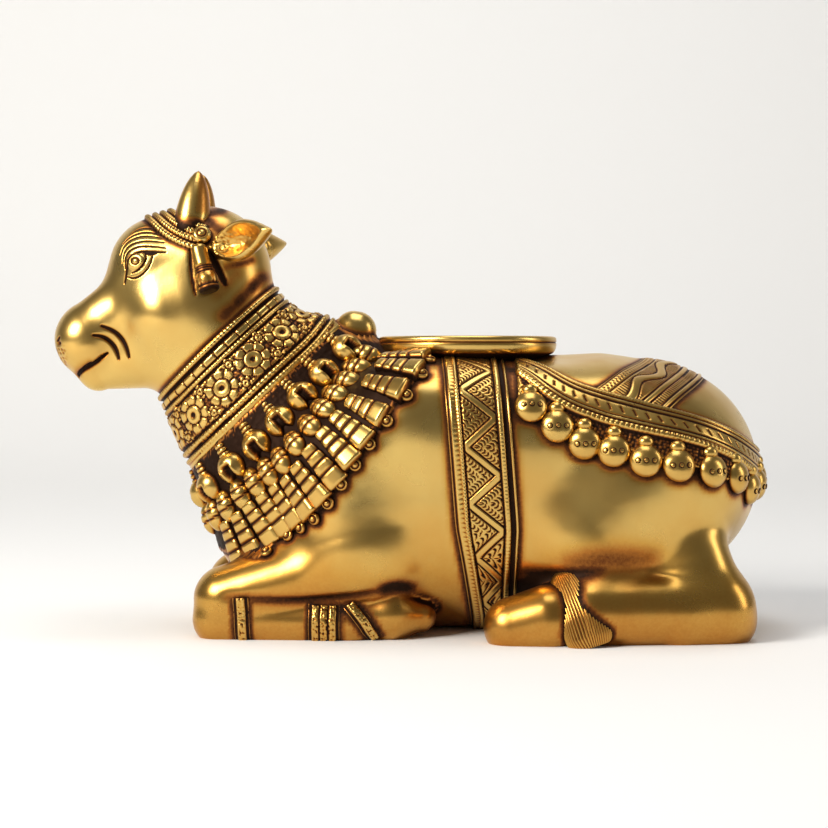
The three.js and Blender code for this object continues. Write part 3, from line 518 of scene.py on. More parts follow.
SKULL_MIDDLE = 0.6 * SHARE  # the seam between the two sides keeps its squares
SKULL_SQUARE, HEAD_SQUARE = 0.8 * MM, 0.7 * MM
FINE_BOXES = [  # where the carving needs smaller squares: two corners [X, Z], and the cuts of each edge
    ((-41.2, 48.2), (-32.8, 57), 2),
    ((-50, 35), (-38.6, 43.4), 1),
    ((-30.5, 50.5), (-24.6, 57), 1),
]
head = wax_form(HEAD + NECK, SKULL_SQUARE)
cut_flat(head, SPLIT + NECK_DOWN * 3 * MM, NECK_DOWN)
put(head, settle(places(head), 2)[0])
horns_and_ears = bmesh.new()
for side in (1, -1):
    horn(horns_and_ears, side)
    ear(horns_and_ears, side)
loose = mesh_object("horns_and_ears", horns_and_ears)
head.from_mesh(loose.data)
bpy.data.objects.remove(loose)
head = remeshed(head, HEAD_SQUARE)
for near in (1.2 * MM, 0.7 * MM):
    smooth(head, 2)
    put(head, wax_nearest(places(head), near))
for low, high, cuts in FINE_BOXES:
    finer(head, low, high, cuts)
skin = places(head)
outward = settle(skin)[1]
side_view = seen_from_left(skin)
depth = np.zeros(len(skin))
dark = np.zeros(len(skin))
on_side = step(np.abs(skin[:, 1]), 0.5 * MM, 3 * MM)
on_skull = 1 - step(np.abs(wax_depth(skin)[0]), 0.4 * MM, 1 * MM)
for line, width, deep in FACE_CUTS:
    distance, share = line_distance(side_view, curved(line))
    swell = 0.45 + 0.55 * swelling(share)
    cut = groove(distance * SHARE / MM, width * CUT_SPREAD * swell) * on_side * on_skull
    depth = np.maximum(depth, deep * swell * cut)
    dark = np.maximum(dark, np.clip(1.5 * cut, 0, 1))
fading = np.sin(PATCH_WAVES * side_view).prod(1)
for line, width, deep in DARK_PATCHES:
    distance = line_distance(side_view, curved(line), CREASE_SIGHT)[0]
    dark_patch = groove(distance * SHARE / MM, width) * on_side * on_skull
    dark = np.maximum(dark, deep * dark_patch * (0.85 + 0.15 * fading))
eye_distance = np.linalg.norm((side_view - EYE) * [1, EYE_STRETCH], axis=1) * SHARE / MM
depth -= EYE_BULGE * dome(eye_distance, EYE_RADIUS) * on_side
pupil_ring = groove(eye_distance - PUPIL_RING, 0.72) * on_side
depth += 0.35 * pupil_ring - 0.15 * groove(eye_distance, 0.8) * on_side
dark = np.maximum(dark, 0.9 * pupil_ring)
muzzle = (1 - step(side_view[:, 0], *MUZZLE_FRONT)) * (1 - step(side_view[:, 1], *MUZZLE_TOP))
muzzle *= step(side_view[:, 1], *MUZZLE_FOOT)
stipple = step(pebbles(skin[:, 1] / MM, skin[:, 2] / MM, STIPPLE_SIZE), 0.7, 0.95) * muzzle
nostril = groove(np.linalg.norm(side_view - NOSTRIL, axis=1) * SHARE / MM, NOSTRIL_WIDTH) * on_side
depth += 0.22 * stipple + 0.9 * nostril
dark = np.maximum(dark, np.maximum(0.5 * stipple, nostril))
put(head, skin - outward * (depth * MM)[:, None])
# patina and painted shade in the folds of the head
head_fold_patina_and_shade = fold_patina_and_shade(skin, outward, *HEAD_FOLD_SHADE) * on_skull
head_grain = np.zeros(len(skin))
for side in (1, -1):
    root, along, across, facing = (np.array(part) for part in ear_frame(side))
    local = skin - root
    share = local @ along / (along @ along)
    inside = step(share, 0.02, 0.2) * (1 - step(share, 0.55, 0.8))
    half = EAR_HALF * SHARE
    sunk = inside * (1 - step(np.abs(local @ across), 0.3 * half, 0.75 * half))
    sunk = sunk * (np.abs(local @ facing) < half) * step(share, 0, 0.1)
    hair = pebbles(local @ along / np.linalg.norm(along) / MM, local @ across / MM, EAR_HAIR_SIZE) * sunk
    head_grain += EAR_HAIR * hair
    dark = np.maximum(dark, (0.36 - 0.3 * hair) * sunk)
head.normal_update()
normals = np.array([v.normal[:] for v in head.verts])
put(head, places(head) + normals * (head_grain * MM)[:, None])
# painted shade and warm reflection on the rear-facing side of each horn
horn_shade = step(side_view[:, 1], *HORN_BASE) * (1 - on_skull) * step(normals[:, 0], 0.05, 0.4)
dark = np.maximum(dark, HORN_SHADE * horn_shade)
mark(head, np.maximum(dark, head_fold_patina_and_shade))
cut_flat(head, SPLIT, NECK_DOWN)
cast("nandi_head", head)

# The collar
# A broad festival collar, raised in the casting round the neck. Ropes and rows of beads edge a field of
# flowers on punched ground, which keeps the dark antique colour when the high parts are polished.
UNDERSIDE_STRIDE = 8  # the underside is hidden in the body, so it has one row for so many on top
FILM = 0.08  # the thin film of patina that is left on the high parts
EVENING_ROUNDS = 12
DARK_HOLLOW = 0.24  # how far below its surroundings a place is quite dark, and how far above quite clean
CLEAN_RIDGE = 0.2


class Strap:
    """A grid that lies on the body. Its pattern is drawn in millimetres along and across it."""

    def __init__(self, surface, ring):
        columns, rows, _ = surface.shape
        skin, outward = settle(surface.reshape(-1, 3), 2)
        self.skin = skin.reshape(surface.shape)
        self.outward = outward.reshape(surface.shape)
        self.ring = ring
        strides = np.linalg.norm(np.diff(self.skin, axis=0), axis=2) / MM
        self.lengths = strides.sum(0)
        self.length = self.lengths.mean()
        middle = np.concatenate([[0], np.cumsum(strides.mean(1))])
        if ring:
            turn = middle / middle[-1]
            self.along = turn[:, None] * self.lengths
        else:
            self.along = np.repeat(middle[:, None], rows, axis=1)
        strides = np.linalg.norm(np.diff(self.skin, axis=1), axis=2) / MM
        self.across = np.concatenate([np.zeros((columns, 1)), np.cumsum(strides, axis=1)], axis=1)
        self.width = self.across[:, -1:]
        self.height = np.zeros((columns, rows))
        self.grime = np.full((columns, rows), FILM)

    def pitch(self, wanted):
        """The spacing nearest to the wanted one that closes the ring evenly."""
        if not self.ring:
            return wanted
        return self.lengths / round(self.length / wanted)

    def repeat(self, wanted, shift=0.0):
        """How far along each point lies from the nearest of evenly spaced spots."""
        pitch = self.pitch(wanted)
        share = self.along / pitch - shift
        return (share - np.round(share)) * pitch

    def band(self, low, high, soft=0.2):
        """1 between two lines along the strap, and 0 beside them."""
        inside = step(self.across, low - soft, low + soft)
        return inside * (1 - step(self.across, high - soft, high + soft))

    def plate(self, rise, edge=0.7):
        """The strap's own thickness, rounded off at both edges."""
        border = np.minimum(self.across, self.width - self.across)
        self.height += rise * step(border, 0, edge) - 0.5 * (1 - step(border, 0, 0.4))

    def rope(self, centre, half, rise, pitch, slant=0.8):
        """A raised cord with slanting cuts."""
        off = self.across - centre
        body_of_rope = dome(off, half)
        place = self.along / self.pitch(pitch) + slant * off / pitch
        cuts = groove((place - np.round(place)) * pitch, 0.32 * pitch)
        self.height += rise * body_of_rope * (1 - 0.5 * cuts)
        self.grime = np.maximum(self.grime, 0.75 * cuts * (body_of_rope > 0))

    def rail(self, centre, half, rise):
        """A plain raised line with a flat top."""
        off = np.abs(self.across - centre)
        self.height += rise * (1 - step(off, half - 0.25, half))

    def cut(self, centre, width, deep):
        self.carve(groove(self.across - centre, width), deep)

    def carve(self, line, deep):
        """Cuts a drawn line, and leaves it dark."""
        self.height -= deep * line
        self.grime = np.maximum(self.grime, np.clip(1.3 * line, 0, 1))

    def beads(self, centre, radius, rise, pitch, shift=0.0):
        off = np.hypot(self.repeat(pitch, shift), self.across - centre)
        self.height += rise * dome(off, radius)

    def dashes(self, centre, length, width, deep, pitch, slant=0.0):
        off = self.across - centre
        along = self.repeat(pitch) + slant * off
        self.carve(groove(along, width) * (1 - step(np.abs(off), length / 2 - 0.2, length / 2 + 0.1)), deep)

    def punched(self, low, high, size, rise):
        """Ground that is roughened with a round punch between two lines."""
        field = self.band(low, high)
        self.height += rise * field * pebbles(self.along, self.across, size)
        self.grime += 0.2 * field

    def finish(self, name, sink=1.4):
        """Closes the strap under the skin, marks its hollows and casts it."""
        even = self.height.copy()
        for _ in range(EVENING_ROUNDS):
            padded = np.pad(even, 1, mode="edge")
            even = (padded[1:-1, 1:-1] + padded[:-2, 1:-1] + padded[2:, 1:-1]
                    + padded[1:-1, :-2] + padded[1:-1, 2:]) / 5
        hollows = np.clip((even - self.height) / DARK_HOLLOW, 0, 1)
        worn = np.clip((self.height - even) / CLEAN_RIDGE, 0, 1)
        grime = np.clip(self.grime * (1 - 0.8 * worn) + hollows, 0, 1)
        top = self.skin + self.outward * self.height[..., None] * MM
        stops = [*range(top.shape[1] - 1, 0, -UNDERSIDE_STRIDE), 0]
        under = (self.skin - self.outward * sink * MM)[:, stops]
        points = np.concatenate([top, under, top[:, :1]], axis=1)
        points[..., 2] = np.maximum(points[..., 2], 0)
        grime = np.concatenate([grime, grime[:, stops], grime[:, :1]], axis=1)
        columns, rows, _ = points.shape
        bm = bmesh.new()
        bmesh.ops.create_grid(bm, x_segments=columns - 1, y_segments=rows - 1, size=1)
        order = np.round((places(bm)[:, :2] + 1) / 2 * [columns - 1, rows - 1]).astype(int)
        put(bm, points[order[:, 0], order[:, 1]])
        mark(bm, grime[order[:, 0], order[:, 1]])
        bmesh.ops.remove_doubles(bm, verts=bm.verts, dist=0.01 * MM)
        close_holes(bm)
        return cast(name, bm)


def refined(coarse, columns, rows):
    """More points between those of a grid."""
    for axis, count in ((0, columns), (1, rows)):
        spot = np.linspace(0, coarse.shape[axis] - 1, count)
        low = np.minimum(spot.astype(int), coarse.shape[axis] - 2)
        share = np.expand_dims(spot - low, [i for i in range(3) if i != axis])
        coarse = np.take(coarse, low, axis) * (1 - share) + np.take(coarse, low + 1, axis) * share
    return coarse


def met(origins, directions):
    """Where straight lines from inside the body come out of it."""
    directions = unit(directions)
    reach = np.zeros(len(origins))
    for _ in range(60):
        depth = wax_depth(origins + directions * reach[:, None])[0]
        reach += np.where(depth < 0, np.maximum(-0.7 * depth, 0.05 * MM), 0)
    return settle(origins + directions * reach[:, None])


NAPE = np.array([0.724, 0, 0.69])
LEFT = np.array([0, -1, 0])


def neck_places(downs, turns):
    """Places round the neck: how far down from the collar's top, and which way round from the nape."""
    centres = NECK_TOP + NECK_DOWN * np.asarray(downs)[:, None]
    ways = NAPE * np.cos(turns)[:, None] + LEFT * np.sin(turns)[:, None]
    return met(centres, ways)


def line_length(points):
    return np.linalg.norm(np.diff(points, axis=0), axis=1).sum()


NECK_TURNS, NECK_ROWS = 73, 9  # how many places are looked up round the neck and down it


def neck_sheet(low, high, cell, drop=lambda turns: 1.0):
    """A closed sheet round the neck between two depths, with the body's own form."""
    turns = np.linspace(0, 2 * np.pi, NECK_TURNS)
    shares = np.linspace(0, 1, NECK_ROWS)
    turn, share = (part.ravel() for part in np.meshgrid(turns, shares, indexing="ij"))
    down = low + (high * drop(turn) - low) * share
    coarse = neck_places(down, turn)[0].reshape(NECK_TURNS, NECK_ROWS, 3)
    around = line_length(coarse[:, NECK_ROWS // 2])
    wide = line_length(coarse[NECK_TURNS // 4])
    return refined(coarse, int(around / cell) + 1, int(wide / cell) + 1)


def flower(along, across, radius, petals):
    """A flat round flower: its height, and the lines cut round its drilled hub and between its petals."""
    distance = np.hypot(along, across)
    turn = np.arctan2(across, along) * petals / (2 * np.pi)
    off_middle = turn - np.floor(turn) - 0.5
    beside = np.abs(off_middle) * 2 * np.pi / petals
    edge = radius * (0.84 + 0.16 * np.sqrt(np.abs(np.cos(np.pi * off_middle))))
    hub = 0.5 * radius
    height = 1 - step(distance, edge - 0.35, edge + 0.1)
    height += 0.35 * (1 - step(distance, hub - 0.3, hub + 0.1))
    between = groove(distance * np.sin(np.pi / petals - beside), 0.5) * step(distance, hub, hub + 0.3)
    drilled = groove(distance, 0.28 * radius)
    lines = np.max([drilled, groove(distance - hub - 0.15, 0.45), between], axis=0)
    return height, lines * (distance < edge + 0.2)


HUMP = np.array([-7.6, 0, 43.5]) * SHARE
HUMP_CLEAR = 8.4 * MM
HUMP_SINK = 3  # how deep the collar goes under where it would lie on the hump, in millimetres


def on_hump(strap, clear=HUMP_CLEAR, soft=0.8 * MM):
    """1 where a strap would lie on the bare hump, and 0 away from it."""
    return 1 - step(np.linalg.norm(strap.skin - HUMP, axis=2), clear, clear + soft)


FLOWER_COUNT = 12
FLOWER_BASE, FLOWER_RISE = 0.8, 0.7
FLOWERS = [  # shift along by shares of the spacing, distance from the collar's top, radius and petals
    (0, 11.2, 2.6, 6),
    (0, 20.5, 2.6, 6),
    (0.5, 15.8, 6.4, 8),
]
collar = Strap(neck_sheet(0, COLLAR_WIDTH, 0.42 * MM), ring=True)
collar.plate(rise=0.8)
collar.rope(centre=1.5, half=1.0, rise=0.75, pitch=1.6, slant=0.3)
collar.cut(centre=3.1, width=1.0, deep=0.9)
collar.rail(centre=4.9, half=1.2, rise=0.5)
collar.dashes(centre=4.9, length=2.4, width=0.55, deep=0.5, pitch=5.6)
collar.cut(centre=6.5, width=0.6, deep=0.7)
collar.rope(centre=7.6, half=0.85, rise=0.65, pitch=1.5, slant=0.3)
collar.cut(centre=8.8, width=0.8, deep=0.7)
collar.punched(low=9.2, high=22.4, size=1.3, rise=0.4)
collar.grime += 0.35 * collar.band(low=9.1, high=22.4)
flower_pitch = collar.length / FLOWER_COUNT
for shift, centre, radius, petals in FLOWERS:
    bloom, lines = flower(collar.repeat(flower_pitch, shift), collar.across - centre, radius, petals)
    collar.height = np.where(bloom > 0.05, FLOWER_BASE + FLOWER_RISE * bloom, collar.height)
    collar.grime = np.where(bloom > 0.05, 0.5 * FILM, collar.grime)
    collar.carve(lines, deep=0.75)
collar.cut(centre=22.8, width=0.8, deep=0.7)
collar.rope(centre=24.1, half=1.15, rise=0.8, pitch=1.75, slant=0.3)
collar.cut(centre=25.7, width=0.9, deep=0.9)
collar.rope(centre=27, half=0.9, rise=0.7, pitch=1.5, slant=0.3)
collar.height -= HUMP_SINK * on_hump(collar)
collar.finish("collar", sink=HUMP_SINK + 1)

# The necklace
# Three rows hang below the collar: open-mouthed bells on ribbed necks, ribbed seed beads, and ribbed
# tassels that each end in a small ring. They are cast in the round, half sunk in dark punched ground.
ABOVE_LEGS = 31 * MM
HANG = [(0, 0.6), (0.28, 0.79), (0.58, 1), (1, 0.84)]  # way from the nape to the throat, share of the drop


def hang(turns):
    away = np.abs(np.pi - np.abs(np.asarray(turns) - np.pi)) / np.pi
    return np.interp(away, *zip(*HANG))


def neck_row(count, drop, gap, offset=0.5):
    """Evenly spaced homes on the neck: Z outwards, Y down, X round the neck."""
    turns = gap + (2 * np.pi - 2 * gap) * (np.arange(count) + offset) / count
    spots, ways = neck_places(COLLAR_WIDTH + drop * hang(turns), turns)
    below = neck_places(COLLAR_WIDTH + (drop + 2 * MM) * hang(turns), turns)[0]
    homes = [home_at(spot, way, down - spot) for spot, way, down in zip(spots, ways, below)]
    return [home for home in homes if home.translation.z > ABOVE_LEGS]


def home_at(spot, outward, down):
    """A frame standing on the body at a spot, with Z outwards and Y in the given direction."""
    z = Vector(outward).normalized()
    y = Vector(down)
    y = (y - z * y.dot(z)).normalized()
    x = y.cross(z)
    return Matrix.Translation(spot) @ Matrix((x, y, z)).transposed().to_4x4()


def cast_on(name, patterns, homes):
    """Copies of small cast patterns, taken in turn, one at each home."""
    bm = bmesh.new()
    bm.verts.layers.float.new("grime")
    for i, home in enumerate(homes):
        first = len(bm.verts)
        bm.from_mesh(patterns[i % len(patterns)])
        bm.verts.ensure_lookup_table()
        bmesh.ops.transform(bm, matrix=home, verts=bm.verts[first:])
    return cast(name, bm)


def pattern(bm, shape):
    """A small cast pattern: shape moves its points, in millimetres, and tells how dark each one is."""
    bmesh.ops.recalc_face_normals(bm, faces=bm.faces)
    points, dark = shape(places(bm) / MM)
    put(bm, points * MM)
    mark(bm, np.clip(dark, 0, 1))
    mesh = bpy.data.meshes.new("pattern")
    bm.to_mesh(mesh)
    bm.free()
    return mesh


def ball(radius, around, rings, shape, stretch=Matrix()):
    """A cast pattern made from a ball, with its poles in front and behind unless the stretch turns it."""
    bm = bmesh.new()
    bmesh.ops.create_uvsphere(bm, u_segments=around, v_segments=rings, radius=radius * MM, matrix=stretch)
    return pattern(bm, shape)


def at_foot(z, low, high, dark=0.95):
    """How dark a small cast form is between its foot, where it meets the skin, and its polished top: patina
    and painted shade.
    """
    return dark * (1 - step(z, low, high))


def turned(profile, segments):
    """A form turned round the Y axis from [radius, y] stations in millimetres."""
    bm = bmesh.new()
    chain = [bm.verts.new((radius * MM, y * MM, 0)) for radius, y in profile]
    edges = [bm.edges.new(pair) for pair in zip(chain, chain[1:])]
    bmesh.ops.spin(bm, geom=chain + edges, cent=(0, 0, 0), axis=(0, 1, 0), angle=2 * math.pi,
                   steps=segments, use_merge=True)
    bmesh.ops.remove_doubles(bm, verts=bm.verts, dist=0.001 * MM)
    close_holes(bm)
    return bm


BELL_RADIUS = 5.8


def bell_shape(p):
    """The mouth is a slot cut up the front of the ball, with a rolled lip."""
    x, y, z = p.T
    slot = (1 - step(np.abs(x), 1.3, 2.1)) * step(y, -1.8, -0.7) * step(z, -0.4, 0.8)
    lip = groove(np.abs(x) - 2.6, 0.9) * step(y, -1, 0.2) * step(z, 0, 1.5)
    grow = 1 - 0.5 * slot + 0.06 * lip
    points = p * grow[:, None] * [1, 1, 0.92]
    return points, slot * 1.5 + at_foot(z, 0.2, 2.4) + 0.05


def ribbed(low, high, count, radius, deep, ends):
    """Stations of a ribbed bar: [radius, y] from low to high, narrowed to a share at the two ends."""
    stations = []
    for i in range(6 * count + 1):
        share = i / (6 * count)
        rib = abs(math.sin(math.pi * share * count)) ** 0.6
        taper = ends[0] + (ends[1] - ends[0]) * share
        stations.append(((radius - deep * (1 - rib)) * taper, low + (high - low) * share))
    return stations


def dark_ribs(low, high, count):
    """Shades a ribbed bar: dark patina in its cuts, and painted shade down its sides."""
    def shape(p):
        x, y, z = p.T
        phase = (y - low) / (high - low) * count
        cut = groove(phase - np.round(phase), 0.28)
        return p, 1.2 * cut + at_foot(z, 0, 1.6) + 0.06
    return shape


BELL_COUNT = 15
BELL_DROP = 10.6 * MM  # below the collar, where the necklace hangs lowest
BELL_GAP = 0.2  # the bare part on each side of the nape, in radians
BELL_NECK = (-9.8, -4.4)
NECK_RIBS = 3
neck_bar = ribbed(*BELL_NECK, NECK_RIBS, radius=2.5, deep=0.7, ends=(0.85, 1.1))
bell_neck = pattern(turned(neck_bar, segments=20), dark_ribs(*BELL_NECK, NECK_RIBS))
bell_homes = neck_row(BELL_COUNT, BELL_DROP, BELL_GAP)
cast_on("neck_bells", [ball(BELL_RADIUS, 40, 30, bell_shape)], bell_homes)
cast_on("neck_bell_necks", [bell_neck], bell_homes)

SEED_COUNT = 28
SEED_DROP = 20.6 * MM
SEED_GAP = 0.26
SEED_HALVES = (3.95, 4.1, 6.2)  # across, out and down
SEED_CUTS = (-2, 1.5)


def seed_shape(p):
    """Two curved cuts run across an oval bead."""
    x, y, z = p.T
    bend = y + 0.07 * x * x
    cut = np.max([groove(bend - at, 0.7) for at in SEED_CUTS], axis=0) * step(z, -0.6, 0.6)
    points = p * (1 - 0.13 * cut)[:, None]
    return points, 1.4 * cut + at_foot(z, 0.1, 2) + 0.05


seed_stretch = Matrix.Rotation(math.pi / 2, 4, "X") @ Matrix.Diagonal((*SEED_HALVES, 1))
seed = ball(1, 28, 28, seed_shape, seed_stretch)
cast_on("seed_beads", [seed], neck_row(SEED_COUNT, SEED_DROP, SEED_GAP))

TASSEL_COUNT = 34
TASSEL_DROP = 33.4 * MM
TASSEL_GAP = 0.28
TASSEL_RADIUS = 4.2
TASSEL_END_RADIUS = 3.7
TASSEL_HALF = 8.6
TASSEL_CUTS = (-5.2, -1.5, 2.7)
TASSEL_STATIONS = 31
SQUARE = 4  # the higher, the squarer the bar


def tassel_shape(p):
    """A flat bar, squared off, wider at its foot, with three dark cuts across it and painted shade down its
    sides.
    """
    x, y, z = p.T
    round_part = np.hypot(x, z) + TINY
    corner = (np.abs(x / round_part) ** SQUARE + np.abs(z / round_part) ** SQUARE) ** (-1 / SQUARE)
    taper = np.interp(y, (-TASSEL_HALF, TASSEL_HALF), (0.62, 1.1)) * corner
    cut = np.max([groove(y - at, 0.8) for at in TASSEL_CUTS], axis=0)
    points = np.stack([x * taper * (1 - 0.1 * cut), y, z * taper * (0.72 - 0.2 * cut)], 1)
    # painted shade down both long sides, so that the flat bar looks rounded
    sides = 0.95 * step(np.abs(x), 3.2, 4.1)
    return points, 1.4 * cut + np.maximum(at_foot(z, 0.2, 1.8), sides) + 0.05


bar = [(TASSEL_RADIUS, y) for y in np.linspace(-TASSEL_HALF, TASSEL_HALF, TASSEL_STATIONS)]
bar[0], bar[-1] = (TASSEL_END_RADIUS, -TASSEL_HALF), (TASSEL_END_RADIUS, TASSEL_HALF)
tassel = pattern(turned(bar, segments=28), tassel_shape)
cast_on("neck_tassels", [tassel], neck_row(TASSEL_COUNT, TASSEL_DROP, TASSEL_GAP))

RING_BEAD_RADIUS = 2.4
RING_BEAD_DROP = 43 * MM


def ring_bead_shape(p):
    """A small ball with a ring cut round its middle."""
    flat = np.hypot(p[:, 0], p[:, 1])
    front = step(p[:, 2], 0, 0.8)
    ring = groove(flat - 1.25, 0.6) * front
    points = p - ring[:, None] * [0, 0, 0.6]
    return points, ring * 1.3 + at_foot(p[:, 2], 0.2, 1.5) + 0.06


ring_bead = ball(RING_BEAD_RADIUS, 20, 16, ring_bead_shape)
cast_on("neck_ring_beads", [ring_bead], neck_row(TASSEL_COUNT, RING_BEAD_DROP, TASSEL_GAP))

GROUND_DROP = 42.6 * MM
GROUND_TOP = 1.2 * MM  # so far it runs up under the collar
NAPE_GAP = (0.05, 0.3)  # near the nape it ends in front of the saddle
GROUND_FOOT = (ABOVE_LEGS - 2.4 * MM, ABOVE_LEGS - 1.4 * MM)  # it goes under the skin above the legs
GROUND_PUNCHED = 60  # how far down it is punched, in millimetres
GROUND_RISE = 0.3
GROUND_SINK = 1.6
PLAIN_ROUND_HUMP = (12 * MM, 6 * MM)  # no punch marks so near to the hump
SOAKED_AND_SHADED = 1.9  # the whole ground is dark: black patina, and painted shade of the deep gaps between the hanging ornaments


def ground_drop(turns):
    away = np.minimum(turns, 2 * np.pi - turns)
    return COLLAR_WIDTH + GROUND_DROP * hang(turns) * (0.35 + 0.65 * step(away, *NAPE_GAP))


ground = Strap(neck_sheet(COLLAR_WIDTH - GROUND_TOP, 1, 0.85 * MM, ground_drop), ring=True)
ground.plate(rise=0.25, edge=1.5)
ground.punched(low=0, high=GROUND_PUNCHED, size=1.2, rise=0.35)
ground.height += (GROUND_RISE - ground.height) * on_hump(ground, *PLAIN_ROUND_HUMP)
bare = np.maximum(on_hump(ground), 1 - step(ground.skin[..., 2], *GROUND_FOOT))
ground.height -= GROUND_SINK * bare
ground.grime += SOAKED_AND_SHADED
ground.finish("necklace_ground")

# The girth
# A broad band round the barrel that holds the saddle. It is engraved with a zigzag of double lines, and the
# triangles between are filled with rows of small arcs struck with a curved punch.
GIRTH_CENTRE = np.array([9.9, 0, 21]) * SHARE
GIRTH_LEAN = 0.08
GIRTH_WIDTH = {-0.9: 16.4 * MM, -0.3: 22.5 * MM}  # the keys run from -1 at the belly to 1 on the back
GIRTH_TURNS, GIRTH_ROWS = 97, 7


def girth_sheet(cell):
    turns = np.linspace(0, 2 * np.pi, GIRTH_TURNS)
    shares = np.linspace(-0.5, 0.5, GIRTH_ROWS)
    turn, share = (part.ravel() for part in np.meshgrid(turns, shares, indexing="ij"))
    wide = np.interp(np.cos(turn), *zip(*GIRTH_WIDTH.items()))
    origins = GIRTH_CENTRE + (share * wide)[:, None] * [1, 0, 0]
    ways = np.stack([-np.cos(turn) * GIRTH_LEAN, -np.sin(turn), np.cos(turn)], 1)
    coarse = met(origins, ways)[0].reshape(GIRTH_TURNS, GIRTH_ROWS, 3)
    around = line_length(coarse[:, GIRTH_ROWS // 2])
    return refined(coarse, int(around / cell), int(max(wide) / cell))


ZIGZAG_TURNS = (0.91, 2.11)  # where two corners at the front edge lie, three spaces apart
BAR_HALF = 1.35  # half the plain bar of the zigzag, to the line cut beside it
ROW_START = 1.55  # the rows of arcs begin this far from the bar's middle
ROW_WIDTH = 2.7
ARC_PITCH = 1.35
ARC_BEND = 1.1
FRONT_BAND = 2.9  # the middle of the nicked band at the front edge, and of the cord and groove at the rear
REAR_CORD = 4
REAR_GROOVE = 2.1
FIELD_FRONT, FIELD_REAR = 5.6, 5.5  # the engraved field begins so far from the two edges
girth = Strap(girth_sheet(0.325 * MM), ring=True)
girth.plate(rise=0.9)
girth.cut(centre=0.9, width=1.0, deep=0.8)
nicks = groove(girth.repeat(1.7) + 0.5 * dome(girth.across - FRONT_BAND, 1.3), 0.5)
girth.height -= 0.14 * nicks * (1 - step(np.abs(girth.across - FRONT_BAND), 0.5, 0.9))
girth.beads(centre=4.4, radius=0.62, rise=0.45, pitch=1.2)
girth.cut(centre=5.3, width=0.6, deep=0.7)
rear = girth.width - girth.across
girth.carve(groove(rear - 5.2, 0.7), deep=0.7)
girth.height += 0.55 * dome(rear - REAR_CORD, 1.05) * (0.6 + 0.4 * dome(girth.repeat(1.3), 0.6))
girth.carve(1 - step(np.abs(rear - REAR_GROOVE), 0.6, 1.1), deep=0.8)
low, high = FIELD_FRONT, girth.width - FIELD_REAR
side_along = np.minimum(girth.along, girth.lengths - girth.along)
last_column = len(girth.along) - 1
first, last = (girth.along[round(turn / (2 * np.pi) * last_column)] for turn in ZIGZAG_TURNS)
zigzag_pitch = (last - first) / 3
corner = (side_along - first) / zigzag_pitch
off_corner = corner - np.round(corner)
zig_at = low + (high - low) * np.abs(off_corner) * 2
lean = 2 * (high - low) / zigzag_pitch
steep = 1 / np.sqrt(1 + lean ** 2)
off_bar = np.abs(girth.across - zig_at) * steep
in_field = step(girth.across, low - 0.2, low + 0.1) * step(rear, 5.3, 5.6)
row = (off_bar - ROW_START) / ROW_WIDTH
row_off = row - np.floor(row) - 0.5
slide = (side_along * np.sign(off_corner) * lean + girth.across) * steep + ARC_BEND * (row_off / 0.5) ** 2
slide_off = (slide / ARC_PITCH - np.round(slide / ARC_PITCH)) * ARC_PITCH
arcs = groove(slide_off, 0.5) * (1 - step(np.abs(row_off), 0.32, 0.42))
girth.carve(arcs * step(off_bar, 1.7, 1.9) * in_field, deep=0.3)
girth.carve(groove(off_bar - BAR_HALF, 0.6) * in_field, deep=0.6)
girth.finish("girth")

# The saddle
# A flat oval saddle pad on the broad of the back, above the girth that holds it. It is cast in one piece
# with the body, and a fine line is turned in its rim.
SADDLE_CENTRE = Vector((8.1, 0, 41.4)) * SHARE
SADDLE_LENGTH = 65
SADDLE_WIDTH = 58
# From the middle of its top over the rim to its underside: shares of the half length, and millimetres up
SADDLE_PROFILE = [(0.05, 0), (0.55, 0), (0.8, 0), (0.94, -0.05), (0.98, -0.25), (0.996, -0.7), (1, -1.3),
                  (1, -2), (0.989, -2.35), (0.999, -2.7), (0.998, -3.6), (0.992, -4.6), (0.98, -5.5),
                  (0.96, -6.2), (0.92, -6.8), (0.87, -7.6), (0.8, -10.8), (0.05, -10.8)]
SADDLE_LINE = -2.35
# painted shadow under the rim: the depths below the top, in millimetres, where it starts and where it is
# full
SADDLE_SHADOW = (5.8, 6.6)


def split_long(bm, longest):
    """Cuts the longer edges in three, so that lines can be marked between them."""
    edges = [e for e in bm.edges if e.calc_length() > longest]
    bmesh.ops.subdivide_edges(bm, edges=edges, cuts=2, use_grid_fill=True)


def saddle_shape(p):
    # the turned line in the rim is dark, and the underside below the rim carries painted shadow
    rim_line_and_shadow = groove(p[:, 1] - SADDLE_LINE, 0.6) + step(-p[:, 1], *SADDLE_SHADOW)
    points = np.stack([p[:, 0], -p[:, 2] * SADDLE_WIDTH / SADDLE_LENGTH, p[:, 1]], 1)
    return points, rim_line_and_shadow


saddle_form = turned([(share * SADDLE_LENGTH / 2, y) for share, y in SADDLE_PROFILE], segments=160)
split_long(saddle_form, 3 * MM)
cast_on("saddle", [pattern(saddle_form, saddle_shape)], [Matrix.Translation(SADDLE_CENTRE)])

# The breeching
# A strap from the saddle round the rump, toothed on its lower edge, that carries a row of round bells.
# Each bell hangs from a bead, and three small ringed dots stand on its middle.
BREECHING_LEFT = [(13.4, -9.5, 38.4), (15.5, -11.5, 36.9), (20.3, -15.6, 33.7), (26.5, -17.4, 32.1),
                  (32.9, -17.4, 30.4), (39.5, -15.6, 28), (45.1, -11, 25.5), (48.6, -5, 23.8),
                  (49.4, 0, 23.2)]


def both_sides(line):
    """A line on the left side that goes on over the right side."""
    return line + [(x, -y, z) for x, y, z in reversed(line[:-1])]


